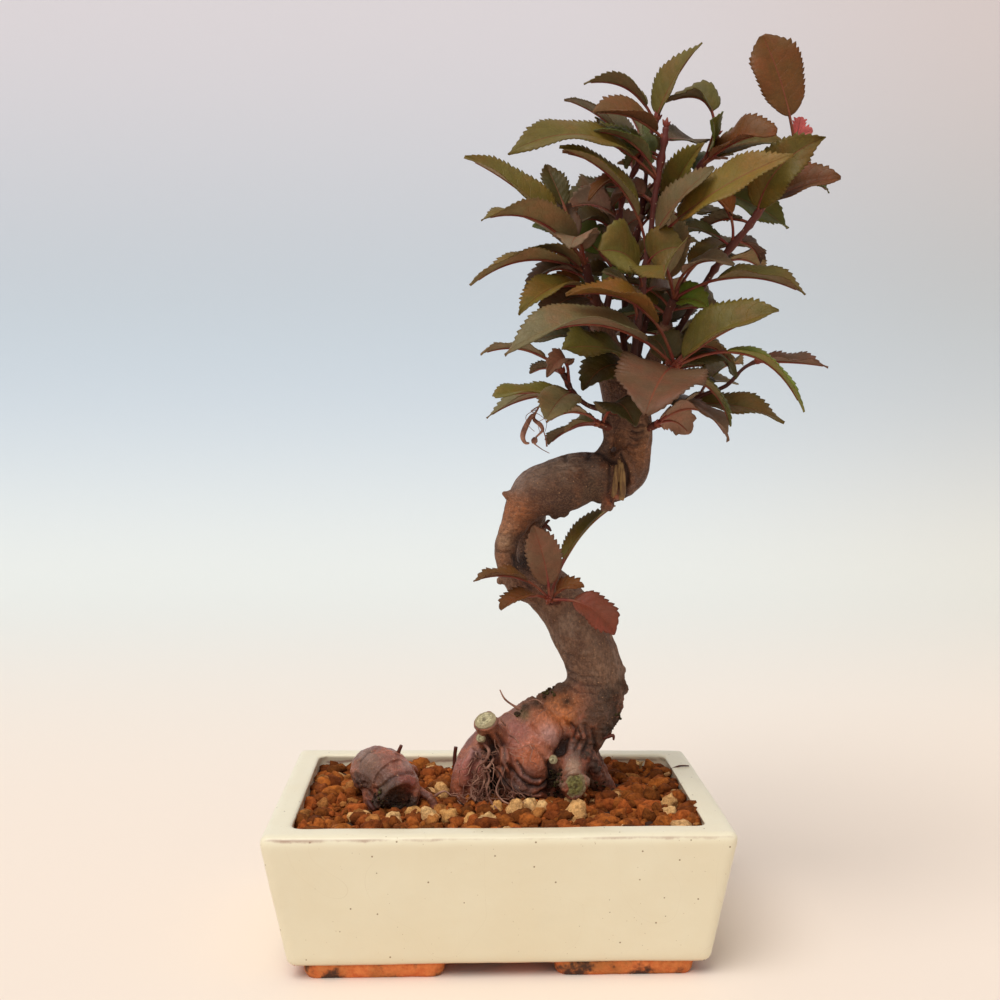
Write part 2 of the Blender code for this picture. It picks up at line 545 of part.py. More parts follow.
def leaf_points(leaf, root, tip, extra_turn=0.0):
    """Rows of three points, left edge, midrib and right edge, from the stem to the tip."""
    chord = (tip - root).normalized()
    looks = upper_side(chord, leaf.face + extra_turn)
    rise = Vector((0, 0, 1)) + looks * 0.6
    rise = (rise - rise.project(chord)).normalized()
    over = (root + tip) / 2 + rise * 2 * leaf.arch
    length = (tip - root).length
    rows = blade_rows(length)
    stalk_rows = 2 if leaf.stalk * length > 7 else 1
    steps = [leaf.stalk * k / stalk_rows for k in range(stalk_rows)]
    steps += [leaf.stalk + (1 - leaf.stalk) * k / rows for k in range(rows + 1)]
    fold = math.radians(leaf.fold)
    made = []
    for k, t in enumerate(steps):
        middle = root * (1 - t) ** 2 + over * 2 * t * (1 - t) + tip * t ** 2
        heading = (over - root) * (1 - t) + (tip - over) * t
        side = heading.cross(looks).normalized()
        up = side.cross(heading).normalized()
        n = k - stalk_rows
        forward = Vector()
        if n <= 0:
            wide, bend = STALK_WIDTH / 2, 0.0
        else:
            tooth = n % 2
            v = min(n / rows, 0.985)
            wide = half_width(v, leaf.width, leaf.blunt) * (1.05 if tooth else 0.86)
            wide, bend = max(wide, 0.45), fold
            forward = heading.normalized() * (0.3 * length / rows * tooth)
        reach = side * wide * math.cos(bend) + up * wide * math.sin(bend)
        other = side * -wide * math.cos(bend) + up * wide * math.sin(bend)
        made.append((middle + reach + forward, middle, middle + other + forward))
    return made


def sheet_faces(rows):
    return [(3 * r + c, 3 * r + c + 1, 3 * r + c + 4, 3 * r + c + 3) for r in range(rows - 1) for c in (0, 1)]


def distance_to_limb(point, a, b, radius_a, radius_b):
    """How far a point is from a tapering limb."""
    way = b - a
    t = min(max((point - a).dot(way) / way.length_squared, 0), 1)
    return (point - (a + way * t)).length - (radius_a + (radius_b - radius_a) * t)


def limb_parts(points):
    places = [(seen(x, z, depth), radius) for x, z, depth, radius in points]
    return [(a[0], b[0], a[1], b[1]) for a, b in zip(places, places[1:])]


def nearby(limbs, centre, reach):
    """The limbs that come within reach of a leaf's middle."""
    return [(name, part) for name, parts in limbs.items() for part in parts
            if distance_to_limb(centre, *part) < reach]


def sheet_tree(leaves, first_row):
    """A search tree of the sheets of some leaves, from one row of points on."""
    corners, faces = [], []
    for rows in leaves:
        start = len(corners)
        corners += [p for row in rows[first_row:] for p in row]
        faces += [tuple(start + i for i in f) for f in sheet_faces(len(rows) - first_row)]
    return (BVHTree.FromPolygons(corners, faces), corners) if faces else None


def sheets_apart(rows, first_row, others):
    """The least distance between a leaf and the sheets in a tree, none where they cross."""
    this, corners = sheet_tree([rows], first_row)
    tree, far_corners = others
    if this.overlap(tree):
        return 0.0
    near = min(tree.find_nearest(p)[3] for p in corners)
    for p in far_corners:
        distance = this.find_nearest(p, near)[3]
        near = near if distance is None else min(near, distance)
    return near


def room_around(rows, limbs, own, others, fellows, worth):
    """The least spare room of a leaf: below zero it comes too near another leaf, a stem or the wood.
    The search ends early once the room is less than what is worth having."""
    root, middle = rows[0][1], rows[len(rows) // 2][1]
    close = nearby(limbs, middle, (rows[-1][1] - root).length)
    corners = [p for row in rows for p in row]
    probes = corners + [(corners[f[0]] + corners[f[2]]) / 2 for f in sheet_faces(len(rows))]
    spare = 99.0
    for name, part in close:
        free = 7.0 if name in (own, "wood") else 0.0
        clearance = WOOD_CLEARANCE if name == "wood" else STEM_CLEARANCE
        for p in probes:
            if (p - root).length > free:
                spare = min(spare, distance_to_limb(p, *part) - clearance)
    if spare < worth:
        return spare
    if others:
        spare = min(spare, sheets_apart(rows, 0, others) - LEAF_GAP)
    if fellows:
        spare = min(spare, sheets_apart(rows, 1, fellows) - LEAF_GAP)
    return spare


def spiral_leaves(name, points):
    """Leaves for a stem that isn't drawn, one after another round it."""
    count = SPIRAL_LEAVES[name]
    draw = random.Random(SPIRAL_SEED + len(name))
    made = []
    for k in range(count):
        at = 0.35 + 0.65 * k / max(count - 1, 1)
        root = along(points, at)
        turn = math.radians(SPIRAL_TURN * k + 20)
        reach = SPIRAL_REACH * draw.uniform(0.8, 1.1)
        away = Vector((math.cos(turn), 0.55 + 0.6 * math.sin(turn), draw.uniform(0.0, 0.5) + 0.35 * (at > 0.9)))
        tip = root + away.normalized() * reach
        width = reach * draw.uniform(0.42, 0.5)
        made.append((Leaf(at, 0, 0, 0, width, draw.uniform(60, 95), draw.uniform(3, 7), 0.2), root, tip))
    return made


def arrange():
    """Settles each leaf. One that would touch what is already there moves along the line of sight, or
    turns a little, until it is clear."""
    limbs = {name: limb_parts(points) for name, (points, _) in SHOOTS.items()}
    limbs["wood"] = [part for limb in [TRUNK, *LIMBS.values(), *ROOTS.values()] for part in limb_parts(limb)]
    choices = sorted(((push, turn) for push in PUSHES for turn in TURNS),
                     key=lambda c: abs(c[0]) + abs(c[1]) / 3)
    settled = {}
    for name, (points, leaves) in SHOOTS.items():
        others = sheet_tree([rows for made in settled.values() for rows in made], 0)
        waiting = [(leaf, along(points, leaf.at), seen(leaf.x, leaf.z, leaf.depth)) for leaf in leaves]
        settled[name] = []
        for leaf, root, tip in waiting or spiral_leaves(name, points):
            fellows = sheet_tree(settled[name], 1)
            best = (-99.0, None)
            for push, turn in choices:
                moved = EYE + (tip - EYE) * (1 + push / -EYE.y)
                rows = leaf_points(leaf, root, moved, turn)
                spare = room_around(rows, limbs, name, others, fellows, best[0])
                if spare > best[0]:
                    best = (spare, rows)
                if spare >= 0:
                    break
            if best[0] > -0.1 or waiting:
                settled[name].append(best[1])
    return settled


def leaf_solid(rows, home):
    """The leaf's sheet, toothed along its edges, given its thickness."""
    bm = bmesh.new()
    points = [bm.verts.new(p * MM) for row in rows for p in row]
    for corners in sheet_faces(len(rows)):
        bm.faces.new([points[i] for i in corners])
    bmesh.ops.triangulate(bm, faces=bm.faces, quad_method="FIXED")
    leaf = object_from(bm, "leaf", home)
    shell = leaf.modifiers.new("Thickness", "SOLIDIFY")
    shell.thickness = LEAF_THICKNESS * MM
    shell.offset = 0
    return leaf


def build_shoot(name, points, leaf_rows, home, finish, wood_room):
    shoot = tube(points, name, home, sides=1)
    shoot.name = name
    shoot.data.materials.append(finish)
    leaves = bpy.data.collections.new("leaves")
    for rows in leaf_rows:
        leaf_solid(rows, leaves)
    bpy.context.scene.collection.children.link(leaves)
    bpy.context.view_layer.update()
    for leaf in leaves.objects:
        baked(leaf)
    boolean(shoot, leaves, "UNION", "MANIFOLD")
    for leaf in list(leaves.objects):
        bpy.data.objects.remove(leaf)
    bpy.data.collections.remove(leaves)
    boolean(shoot, wood_room, "DIFFERENCE", "MANIFOLD")
    return shoot


def main():
    clear_scene()
    home = collection("apple_bonsai")
    cutters = collection("cutters")
    glaze = material("glaze", CREAM, 0.25)
    bark = material("bark", BARK, 0.7)
    foliage = material("foliage", LEAF_OLIVE, 0.5)
    earth = material("earth", TERRACOTTA_SOIL, 0.95)
    plastic = material("screen_plastic", MESH_BLACK, 0.5)
    build_pot(home, cutters, glaze)
    build_screens(home, plastic)
    trunk = grown("trunk", [TRUNK, *LIMBS.values(), *ROOTS.values()], WOOD_TRIANGLES, home, bark)
    stump = grown("root_stump", [STUMP, STUMP_ROOT, STUMP_FOOT], STUMP_TRIANGLES, home, bark)
    trunk_room = swollen(trunk, cutters)
    build_soil(home, cutters, earth, [trunk_room, swollen(stump, cutters)])
    settled = arrange()
    for name, (points, _) in SHOOTS.items():
        build_shoot(name, points, settled[name], home, foliage, trunk_room)
    base = bpy.data.objects.new("bonsai", None)
    home.objects.link(base)
    base.location = POT_PLACE
    for piece in home.objects:
        if piece is not base:
            piece.parent = base
    bpy.context.view_layer.update()


main()
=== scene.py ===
"""The looks of the apple bonsai: its bark, leaves, soil, glaze and light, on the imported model's frame.

Places in the tables are millimetres, read as the source reads them: (x, z) on the front elevation
through the middle of the pot, and a depth behind (+) or in front of (-) it on the same line of sight.
"""
import math
import random
from collections import namedtuple

import bmesh
import bpy
import numpy as np
from mathutils import Matrix, Vector, noise
from mathutils.bvhtree import BVHTree


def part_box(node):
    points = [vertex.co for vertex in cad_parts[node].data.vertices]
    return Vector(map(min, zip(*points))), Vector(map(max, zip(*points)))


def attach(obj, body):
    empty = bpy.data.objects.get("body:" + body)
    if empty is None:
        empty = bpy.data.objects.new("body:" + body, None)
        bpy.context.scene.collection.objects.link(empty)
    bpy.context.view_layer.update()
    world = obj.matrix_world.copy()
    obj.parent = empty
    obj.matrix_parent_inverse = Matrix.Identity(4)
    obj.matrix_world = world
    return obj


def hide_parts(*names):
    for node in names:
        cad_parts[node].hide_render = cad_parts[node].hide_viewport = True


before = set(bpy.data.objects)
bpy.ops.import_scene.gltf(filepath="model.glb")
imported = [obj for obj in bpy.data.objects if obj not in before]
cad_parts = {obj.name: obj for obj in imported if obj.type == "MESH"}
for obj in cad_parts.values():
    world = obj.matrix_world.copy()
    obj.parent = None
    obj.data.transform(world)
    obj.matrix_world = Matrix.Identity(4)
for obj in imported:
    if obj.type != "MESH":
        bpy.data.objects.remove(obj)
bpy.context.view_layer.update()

MM = 0.001
POT_LOW, POT_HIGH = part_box("pot")
POT_MIDDLE = Vector(((POT_LOW.x + POT_HIGH.x) / 2, (POT_LOW.y + POT_HIGH.y) / 2, 0))
EYE = Vector((-14.5, -525.0, 216.0))        # where the front elevation is seen from, and the camera
LENS, SENSOR_WIDTH = 45.36, 36.0
PITCH, YAW = 3.55, -1.76

# Light: the window's strength, width in degrees, colour and heading, then the even light of the room
WINDOW_STRENGTH, WINDOW_ANGLE = 2.05, 42
WINDOW_COLOUR, WINDOW_HEADING = (1.0, 0.985, 0.965), (0.32, 0.43, -0.86)
ROOM_COLOUR, ROOM_STRENGTH = (0.98, 0.985, 1.0, 1.0), 0.54

# Pot and soil, as in the source
POT_WIDTH, POT_DEPTH, POT_HEIGHT, FOOT_HEIGHT = 182.0, 124.0, 61.0, 7.0
POT_TAPER, RIM_WIDTH = 9.2, 10.0
FLOOR_THICKNESS, WALL_AT_BASE = 7.0, 8.0
CORNER_RADIUS = 3.5
FOOT_INNER, FOOT_OUTER, FOOT_DEPTH, FOOT_SLOPE = 20.5, 75.0, 34.0, 1.5
DRAIN_X, DRAIN_RADIUS = 38.0, 7.0
SOIL_LEVEL = 54.5

# Leaves, as in the source
STALK_WIDTH = 1.3
LEAF_GAP = 1.35
WOOD_CLEARANCE, STEM_CLEARANCE = 1.6, 1.2
PUSHES = (0, 4, -4, 8, -8, 12, -12, 17, -17, 23, -23, 30)
TURNS = (0, 14, -14, 28)
FOLD = 26.0

Leaf = namedtuple("Leaf", "at x z depth width face arch stalk fold blunt tone",
                  defaults=(3, 0.18, FOLD, 0.8, "olive"))

TRUNK = [(26.5, 54, 18, 10.5), (27.5, 67, 16, 12.5), (30, 79, 15, 13.2), (35, 89, 14, 13.6),
         (40.3, 99, 13, 13.6), (42, 109, 12, 12.5), (39.5, 118, 12, 12.4), (36, 126, 12, 12.5),
         (31, 135, 13, 11.6), (24.5, 143, 14, 10.8), (17, 151, 16, 9.8), (15.3, 159, 18, 8.4),
         (15, 168, 18, 7), (15, 176, 14, 6), (17, 183, 8, 5)]
LIMBS = {
    "upper_trunk": [(17, 146, 10, 7), (9.8, 148.5, 7, 6.4), (5, 156, 5, 4.7), (4, 164, 4, 4.8),
                    (7, 172, 3, 5.6), (11, 180, 3, 8), (17, 186, 2, 10.8), (24, 188.5, 2, 11.7),
                    (32, 191.5, 2, 11.8), (40, 193, 2, 10.4), (46, 192.5, 2, 11.2), (54, 196, 3, 9.8),
                    (56.6, 204, 3, 8.6), (56.3, 211, 3, 9.2), (55.2, 218, 3, 9.6), (54.5, 226, 3, 8.6),
                    (54, 233, 3, 5.5)],
    "left_limb": [(52, 224, 4, 7.5), (49, 236, 6, 6.4), (46, 248, 7, 5.4), (43, 258, 6, 4.6),
                  (40, 266, 4, 3.8)],
    "leader_foot": [(57, 224, 1, 5.5), (57, 238, -1, 3.2)],
    "right_limb": [(58, 222, 2, 5.5), (63, 236, 6, 3.8), (69, 250, 6, 3.2), (71, 257, 4, 2.8)],
    "back_limb": [(56, 220, 4, 6), (55, 232, 14, 4), (54, 244, 22, 3.2)],
    "front_limb": [(58, 220, -1, 5), (62, 227, -9, 3.4), (65, 231, -15, 2.6)],
}
ROOTS = {
    "front_mass": [(22, 90, 14, 11), (15.5, 82, 11, 14.5), (12.5, 74, 10, 16.5), (12.5, 66, 11, 16),
                   (12.5, 58, 12, 14), (12.5, 50, 13, 11)],
    "saddle": [(38, 101, 13, 9), (32, 97, 14, 10), (25, 91.5, 14, 11), (17, 85, 12, 12.5)],
    "left_root": [(20, 90, 14, 12), (8.5, 83.5, 11, 11), (-2, 77.5, 9, 10.8), (-8, 69.5, 8, 10.3),
                  (-11, 60.5, 8, 9), (-12, 51, 8, 7.5)],
    "right_root": [(33, 78, 15, 10), (40, 68, 17, 7), (47, 60, 19, 4.5), (52, 52, 20, 3)],
    "back_root": [(30, 84, 20, 12), (24, 68, 30, 9.5), (20, 55, 36, 6.5), (18, 48, 39, 4)],
    "cut_root_right": [(34, 79, 11, 9), (35, 71.5, 3, 7), (34, 64.5, -2, 5.8), (33.4, 61.6, -7, 5.6)],
    "cut_root_left": [(6, 83, 6, 6.5), (0.5, 87.2, 0, 5), (-2.8, 89.6, -5, 4.7)],
    "small_stub_left": [(-3, 79, 3, 3.5), (-6.3, 82.5, -4, 2)],
    "small_stub_front": [(24, 75, 4, 3), (24.2, 73.3, -6, 1.9)],
    "side_spike": [(45, 104, 13, 8), (52, 103.5, 12, 4), (55.5, 103, 12, 1.7)],
    "elbow_knot": [(6, 165, 4, 5), (1.5, 165, 2, 3), (-0.4, 165, 2, 1.8)],
    "shoulder_knot": [(12, 184, 2, 8), (4, 186, 0, 3), (2.5, 186.5, 0, 1.7)],
    "top_knot": [(33, 196, 2, 7), (33, 199.5, 1, 4.6)],
}
STUMP = [(-53.5, 68.5, 10, 8), (-52, 69.3, 5, 10), (-48, 68.8, -1, 10.3), (-44, 65.5, -7, 10),
         (-41.3, 61, -12, 9.2), (-40.5, 58.5, -15, 7.6)]
STUMP_ROOT = [(-38, 62, -10, 3.4), (-32.5, 60, -10, 2.1), (-27, 56, -12, 1.8), (-25.5, 49, -13, 1.7)]
STUMP_FOOT = [(-48, 64, 0, 9), (-47, 55, -3, 9), (-46, 47, -4, 7)]

SHOOTS = {
    "trunk_sprig": ([(27, 141, 6, 2.2), (23.5, 141, -1, 2), (22.5, 141, -5, 1.7)], [
        Leaf(1, 15.5, 172.5, -10, 15, 8, 2, 0.22, 14, 0.6, tone="mauve"),
        Leaf(1, 50, 181, -10, 12, 58, 6, 0.34),
        Leaf(0.9, -9.5, 149.5, -12, 11, 66, 6, 0.35, tone="rust"),
        Leaf(0.8, 2, 137, -16, 11, 58, 4, 0.32, FOLD, 0.5, tone="rust"),
        Leaf(0.8, 37, 146.5, -8, 10, 52, 3, 0.25, tone="rust"),
        Leaf(0.95, 50, 126.5, -13, 15, 26, 6, 0.3, 14, 0.6, tone="red"),
    ]),
    "leader": ([(57, 233, -1, 2.2), (57.5, 246, -3, 1.9), (59.5, 261, -6, 1.7), (61.5, 277, -7, 1.6),
                (63.8, 292, -7, 1.5), (65, 304, -7, 1.5), (67, 318, -6, 1.6), (69, 329, -6, 1.7),
                (70, 337, -6, 1.7)], [
        Leaf(0.95, 40, 342.5, -16, 21, 50, 4, 0.14, 26, 0.55, tone="rust"),
        Leaf(0.79, 5, 326, -34, 20, 38, 12, 0.2, 14),
        Leaf(0.95, 84, 331, 14, 18, 30, 1, 0.12, 14, 0.5, tone="dark"),
        Leaf(0.88, 54, 320, 16, 16, 36, 5, 0.15, tone="green"),
        Leaf(0.7, 47, 303, 6, 15, 40, 6, 0.2, tone="mauve"),
        Leaf(0.53, 123, 326.5, -40, 20, 36, 4, 0.24, 16),
        Leaf(0.36, 43, 286.5, -30, 26, 24, 6, 0.28, 18, 0.6),
        Leaf(0.5, 26, 328.5, -24, 17, 58, 9, 0.26),
        Leaf(0.45, 78, 288, -18, 20, 20, 3, 0.2, 14),
        Leaf(0.08, 28, 246, -30, 21, 40, 3, 0.1, 16, 0.6),
        Leaf(0.04, 36, 229, -16, 19, 30, 6, 0.12, 14, tone="dark"),
    ]),
    "rear_left_shoot": ([(45, 258, 7, 2.1), (47.5, 272, 11, 1.7), (49.5, 288, 12, 1.5), (51.5, 304, 12, 1.4),
                         (55.5, 316, 10, 1.3), (60.5, 326, 7, 1.3), (66, 340, 5, 1.2)], [
        Leaf(1, 84.5, 371.5, -4, 17, 52, 2, 0.06, 24, 0.95),
        Leaf(0.98, 36, 354.5, 8, 15, 60, 7, 0.2),
        Leaf(0.8, 28, 348, 18, 22, 36, 4, 0.12, 20, tone="dark"),
        Leaf(0.74, 43, 340.5, 22, 19, 26, 3, 0.2, 14),
        Leaf(0.52, 38, 307, 6, 11, 66, 12, 0.3, tone="rust"),
        Leaf(0.5, 29, 304, 26, 17, 108, 4, 0.2, tone="pink"),
        Leaf(0.42, 31, 297, 8, 14, 50, 5, 0.2, tone="dark"),
        Leaf(0.32, 61, 301, 24, 17, 110, 4, 0.2, tone="pink"),
    ]),
    "left_spur": ([(42, 264, 3, 2.4), (39, 273, -2, 2), (37, 281, -5, 1.7)], [
        Leaf(1, -13, 324.5, -14, 20, 42, 5, 0.3, 24),
        Leaf(0.95, 20.5, 321.5, 6, 11, 16, 1, 0.58, 14, 0.5, tone="dark"),
        Leaf(0.9, -6, 299, -26, 20, 78, 10, 0.16, 28),
        Leaf(0.7, 12, 306, 0, 16, 36, 8, 0.34, 20, tone="mauve"),
        Leaf(0.8, -10.5, 272, -20, 15, 66, 8, 0.15),
        Leaf(0.6, 12.5, 266.5, -6, 14, 60, 9, 0.15, tone="mauve"),
        Leaf(0.4, 9.5, 260, -20, 16, 52, 6, 0.16),
        Leaf(1, 31, 288, -38, 18, 50, 7, 0.2, 14, 0.6, tone="pink"),
    ]),
    "right_shoot": ([(56.5, 232, 13, 2.2), (60, 248, 16, 1.8), (65, 270, 19, 1.7), (68, 290, 18, 1.7),
                     (71, 304, 14, 1.7), (77, 312, 9, 1.7), (83, 319, 6, 1.7), (88, 327, 4, 1.7),
                     (91, 334, 3, 1.6)], [
        Leaf(0.98, 70, 347, 12, 19, 42, 10, 0.3),
        Leaf(0.86, 116, 335, -8, 20, 42, 4, 0.18, FOLD, 0.45, tone="rust"),
        Leaf(0.82, 98, 326, 18, 15, 50, 3, 0.15, tone="green"),
        Leaf(0.62, 86, 331, -8, 14, 30, 3, 0.2),
        Leaf(0.78, 121, 296, 14, 24, 30, 4, 0.1, 14, tone="green"),
        Leaf(0.68, 50, 322, 26, 16, 60, 6, 0.2),
        Leaf(0.5, 90, 294, 34, 16, 40, 6, 0.2, tone="green"),
    ]),
    "far_right_shoot": ([(64, 238, 5, 2.3), (72, 248, 13, 2), (80, 261, 11, 1.8), (86, 272, 6, 1.7),
                         (92, 281, 3, 1.7), (98, 289, 2, 1.8), (104, 296, 1, 1.8), (109, 303, 0, 1.7),
                         (113, 310, 2, 1.2), (118, 319, 4, 1.1), (124, 331, 4, 1)], [
        Leaf(0.99, 109.5, 374.5, -2, 22, 6, 2, 0.26, 10, 0.42, tone="blush"),
        Leaf(1, 126, 341.5, 6, 5, 10, 1, 0.2, 14, 0.5, tone="bud"),
        Leaf(1, 131, 336, -2, 6, 30, 1, 0.2, 14, 0.5, tone="bud"),
        Leaf(0.7, 136.5, 333.5, -30, 20, 32, 6, 0.06, 14, 0.9),
        Leaf(0.72, 143, 316.5, -10, 20, 46, 3, 0.12, FOLD, 0.6, tone="rust"),
        Leaf(0.66, 84, 294, 14, 12, 72, 4, 0.16, tone="grey"),
        Leaf(0.58, 110, 281.5, 10, 12, 58, 3, 0.16, tone="mauve"),
        Leaf(0.56, 84, 311, -8, 15, 44, 6, 0.4, tone="rust"),
        Leaf(0.46, 112, 278, 22, 15, 66, 5, 0.16),
        Leaf(0.3, 91, 262, 18, 17, 24, 3, 0.12, 14, 0.5, tone="dark"),
        Leaf(0.16, 88, 246, -4, 20, 36, 3, 0.12, tone="dark"),
    ]),
    "centre_spur": ([(70, 253, 5, 2.1), (71.5, 261, 1, 1.9), (74, 267, -3, 1.6)], [
        Leaf(1, 70, 275, -40, 26, 66, 9, 0.3, 24),
        Leaf(1, 129, 269, -26, 18, 54, 8, 0.34, 26, 0.6),
        Leaf(0.85, 99, 281, -20, 18, 68, 9, 0.34, 14, tone="pink"),
        Leaf(0.95, 73, 302, 2, 21, 12, 3, 0.25, 14, tone="grey"),
        Leaf(0.8, 88, 263.5, -14, 15, 24, 3, 0.12, tone="fresh"),
        Leaf(0.6, 97, 260, 16, 11, 54, 3, 0.14, tone="grey"),
        Leaf(1, 106, 288, 20, 16, 46, 9, 0.28),
        Leaf(0.7, 48, 272, 8, 17, 46, 5, 0.2, tone="dark"),
    ]),
    "front_spur": ([(64, 229.5, -13, 2.2), (70.5, 236, -22, 2), (74.5, 239, -28, 1.8)], [
        Leaf(1, 29, 268, -46, 18, 60, 12, 0.3, 28, tone="amber"),
        Leaf(0.98, 3.5, 244, -56, 25, 50, 14, 0.2, 24, tone="grey"),
        Leaf(1, 118, 262, -46, 27, 48, 3, 0.1, 28),
        Leaf(1, 129, 220, -38, 13, 60, 14, 0.32, 22, tone="fresh"),
        Leaf(0.92, 62.5, 219.5, -74, 34, 14, 4, 0.08, 13, 0.7, tone="mauve"),
        Leaf(0.7, 100, 234, -10, 21, 34, 10, 0.12, 16, tone="dark"),
        Leaf(0.84, 100, 239, -20, 9, 66, 9, 0.4),
        Leaf(0.7, 63, 251, -20, 18, 20, 4, 0.2, tone="dark"),
        Leaf(0.75, 98, 214, -26, 10, 62, 6, 0.2, tone="green"),
    ]),
    "low_right_twig": ([(58, 212, 6, 1.6), (68, 216, 4, 1.3), (78, 222, 1, 1.1), (86, 227, -1, 1.1),
                        (96, 231, -2, 1.1), (103, 238, -3, 1), (108, 241, -4, 0.9)], [
        Leaf(1, 139, 239, -14, 13, 54, 1, 0.08, tone="mauve"),
        Leaf(0.42, 121, 216, -14, 17, 40, 3, 0.1, 16),
        Leaf(0.52, 103, 240, 30, 15, 50, 5, 0.2),
        Leaf(0.26, 88, 222, 28, 15, 60, 5, 0.2, tone="dark"),
    ]),
    "low_right_spur": ([(60, 211, -1, 1.9), (66.5, 214.5, -9, 1.5)], [
        Leaf(1, 97.5, 208, -26, 20, 62, 10, 0.14, 14, tone="pink"),
        Leaf(0.9, 81, 211, -4, 15, 100, 4, 0.12, 14, 0.5, tone="pink"),
    ]),
    "low_left_spur": ([(52, 211.5, 0, 1.9), (43.5, 215, -8, 1.5)], [
        Leaf(1, 21, 215.5, -16, 13, 58, 5, 0.3, tone="grey"),
        Leaf(0.8, 29, 211.5, 6, 11, 56, 3, 0.25),
        Leaf(0.7, 22, 206.5, 10, 10, 70, 4, 0.5, FOLD, 0.5, tone="dark"),
        Leaf(0.9, 58, 214, -28, 18, 36, 9, 0.15, 14, 0.6, tone="dark"),
    ]),
    "low_left_twig": ([(52, 219.5, -2, 1.8), (45, 221, -9, 1.5), (38, 223, -12, 1.3), (32, 228, -14, 1.3),
                       (28, 236, -15, 1.2)], [
        Leaf(1, -6.5, 244, -8, 11, 70, 6, 0.25, tone="grey"),
        Leaf(0.86, 21, 234.5, -26, 10, 48, 9, 0.26, tone="mauve"),
        Leaf(0.96, 14, 236, 4, 9, 64, 3, 0.22, tone="dark"),
        Leaf(0.76, -1, 226.5, -30, 15, 50, 1, 0.08, 14, 0.4),
        Leaf(0.7, -4, 217.5, -14, 12, 58, 4, 0.14, tone="grey"),
        Leaf(0.74, 21, 217, -40, 15, 24, 3, 0.1, 14, 0.5, tone="grey"),
    ]),
    "rear_shoot": ([(54, 240, 20, 2.2), (53, 254, 27, 1.8), (54, 270, 30, 1.7), (57, 286, 31, 1.5),
                    (60, 302, 31, 1.4), (62, 318, 30, 1.2)], []),
    "rear_left_spur": ([(49, 244, 8, 2), (43, 250, 20, 1.9), (38, 255, 30, 1.6)], []),
    "rear_right_spur": ([(61, 226, 6, 2.1), (67, 231, 18, 1.9), (73, 237, 28, 1.6)], []),
}

# Small wood that the source leaves out: places as (x, z, depth, radius)
FINE_ROOTS = [
    [(10, 95, -1, 0.7), (6.5, 97, -2, 0.45), (3.5, 99.5, -3, 0.4), (1.6, 103.2, -4, 0.25)],
    [(20, 97, -1, 0.35), (17, 99, -2, 0.25), (14, 98.5, -2, 0.2)],
    [(4, 88, -3, 0.4), (2, 91, -4, 0.3), (4.5, 93.5, -4, 0.25), (8, 92, -3.5, 0.2)],
    [(-26, 58, -12, 0.7), (-22, 60, -12, 0.4), (-19, 58, -12, 0.3)],
    [(-5, 80, -4, 0.6), (-3, 77, -7, 0.7), (-4.5, 73, -8, 0.6), (-8, 70, -7, 0.5), (-9, 64, -6, 0.4)],
    [(-1, 74, -6, 0.5), (-3.5, 70, -9, 0.6), (-6, 69, -9, 0.5), (-5, 64, -10, 0.4), (-7.5, 58, -11, 0.35)],
    [(-6, 72, -5, 0.5), (-3, 66, -9, 0.5), (-4, 60, -11, 0.45), (-2, 55, -15, 0.4), (1, 51.5, -22, 0.3)],
    [(2, 66, -8, 0.4), (0, 60, -11, 0.4), (3, 55.5, -15, 0.35), (8, 54, -19, 0.3), (12, 55, -20, 0.2)],
]
DARK_TWIGS = [
    [(16, 170, 8, 1.2), (18.5, 171, 6, 0.8), (20.6, 172.5, 5, 0.75), (21.8, 171.8, 5, 0.9),
     (23, 170.4, 4, 0.4)],
    [(20.2, 172.2, 5, 0.5), (21.5, 174.4, 4, 0.65), (22.6, 174.8, 4, 0.3)],
    [(43, 82.5, 6, 0.9), (46.5, 82.4, 4, 0.6), (49.5, 83.4, 3, 0.75), (49.8, 81.4, 3, 0.4)],
    [(-17.4, 68.5, 48, 1.1), (-17.6, 74, 48, 0.9), (-17, 79, 48, 0.9)],
    [(74.5, 68.6, 30, 0.45), (78, 70.0, 30.5, 0.4), (82, 70.0, 31, 0.25)],
    [(-85.6, 67.3, 20.8, 0.25), (-84.0, 68.2, 24.2, 0.4), (-81.9, 68.9, 26.8, 0.25)],
]
WITHERED = {"low_left_twig": [
    [(29, 225, -13.5, 0.4), (24, 223.4, -17, 0.3), (18, 222.4, -19, 0.3), (14.5, 220.4, -20, 0.25)],
    [(18, 222.4, -19, 0.3), (16, 219.5, -20, 0.4), (14.5, 218, -20.5, 0.9), (12.1, 213.4, -21, 1.2),
     (11.1, 209.9, -21, 1.1), (12.1, 207.4, -20.5, 0.7), (13.8, 207.1, -20, 0.4)],
    [(18, 222.4, -19, 0.3), (15.6, 217.6, -20, 0.7), (18.4, 214.8, -20.5, 0.9), (19.4, 212.7, -20, 0.7),
     (18.4, 211.3, -20, 0.45), (16.6, 209.6, -19.6, 0.4)],
    [(19.4, 213.4, -20, 0.25), (20.6, 209.5, -20.4, 0.25), (21.2, 205.7, -20, 0.4)],
    [(16.4, 209.4, -19.7, 0.8), (16, 208.2, -20, 1.35), (15.8, 206.9, -20, 0.8)],
    [(15.8, 207, -20, 0.3), (19.1, 204.6, -20.5, 0.18), (22.3, 202.9, -21, 0.14)],
    [(16.5, 221, -19.5, 0.16), (12.5, 218.5, -22, 0.13), (13.5, 214.5, -23, 0.12), (16, 212, -22, 0.1)],
    [(19, 222, -19, 0.16), (20.5, 218, -21, 0.14), (17.5, 215.5, -22.5, 0.12), (18.5, 211, -22, 0.1)],
    [(15, 220, -20, 0.16), (18, 219, -18, 0.13), (21, 216, -18, 0.12), (20.5, 212, -19, 0.1)],
]}
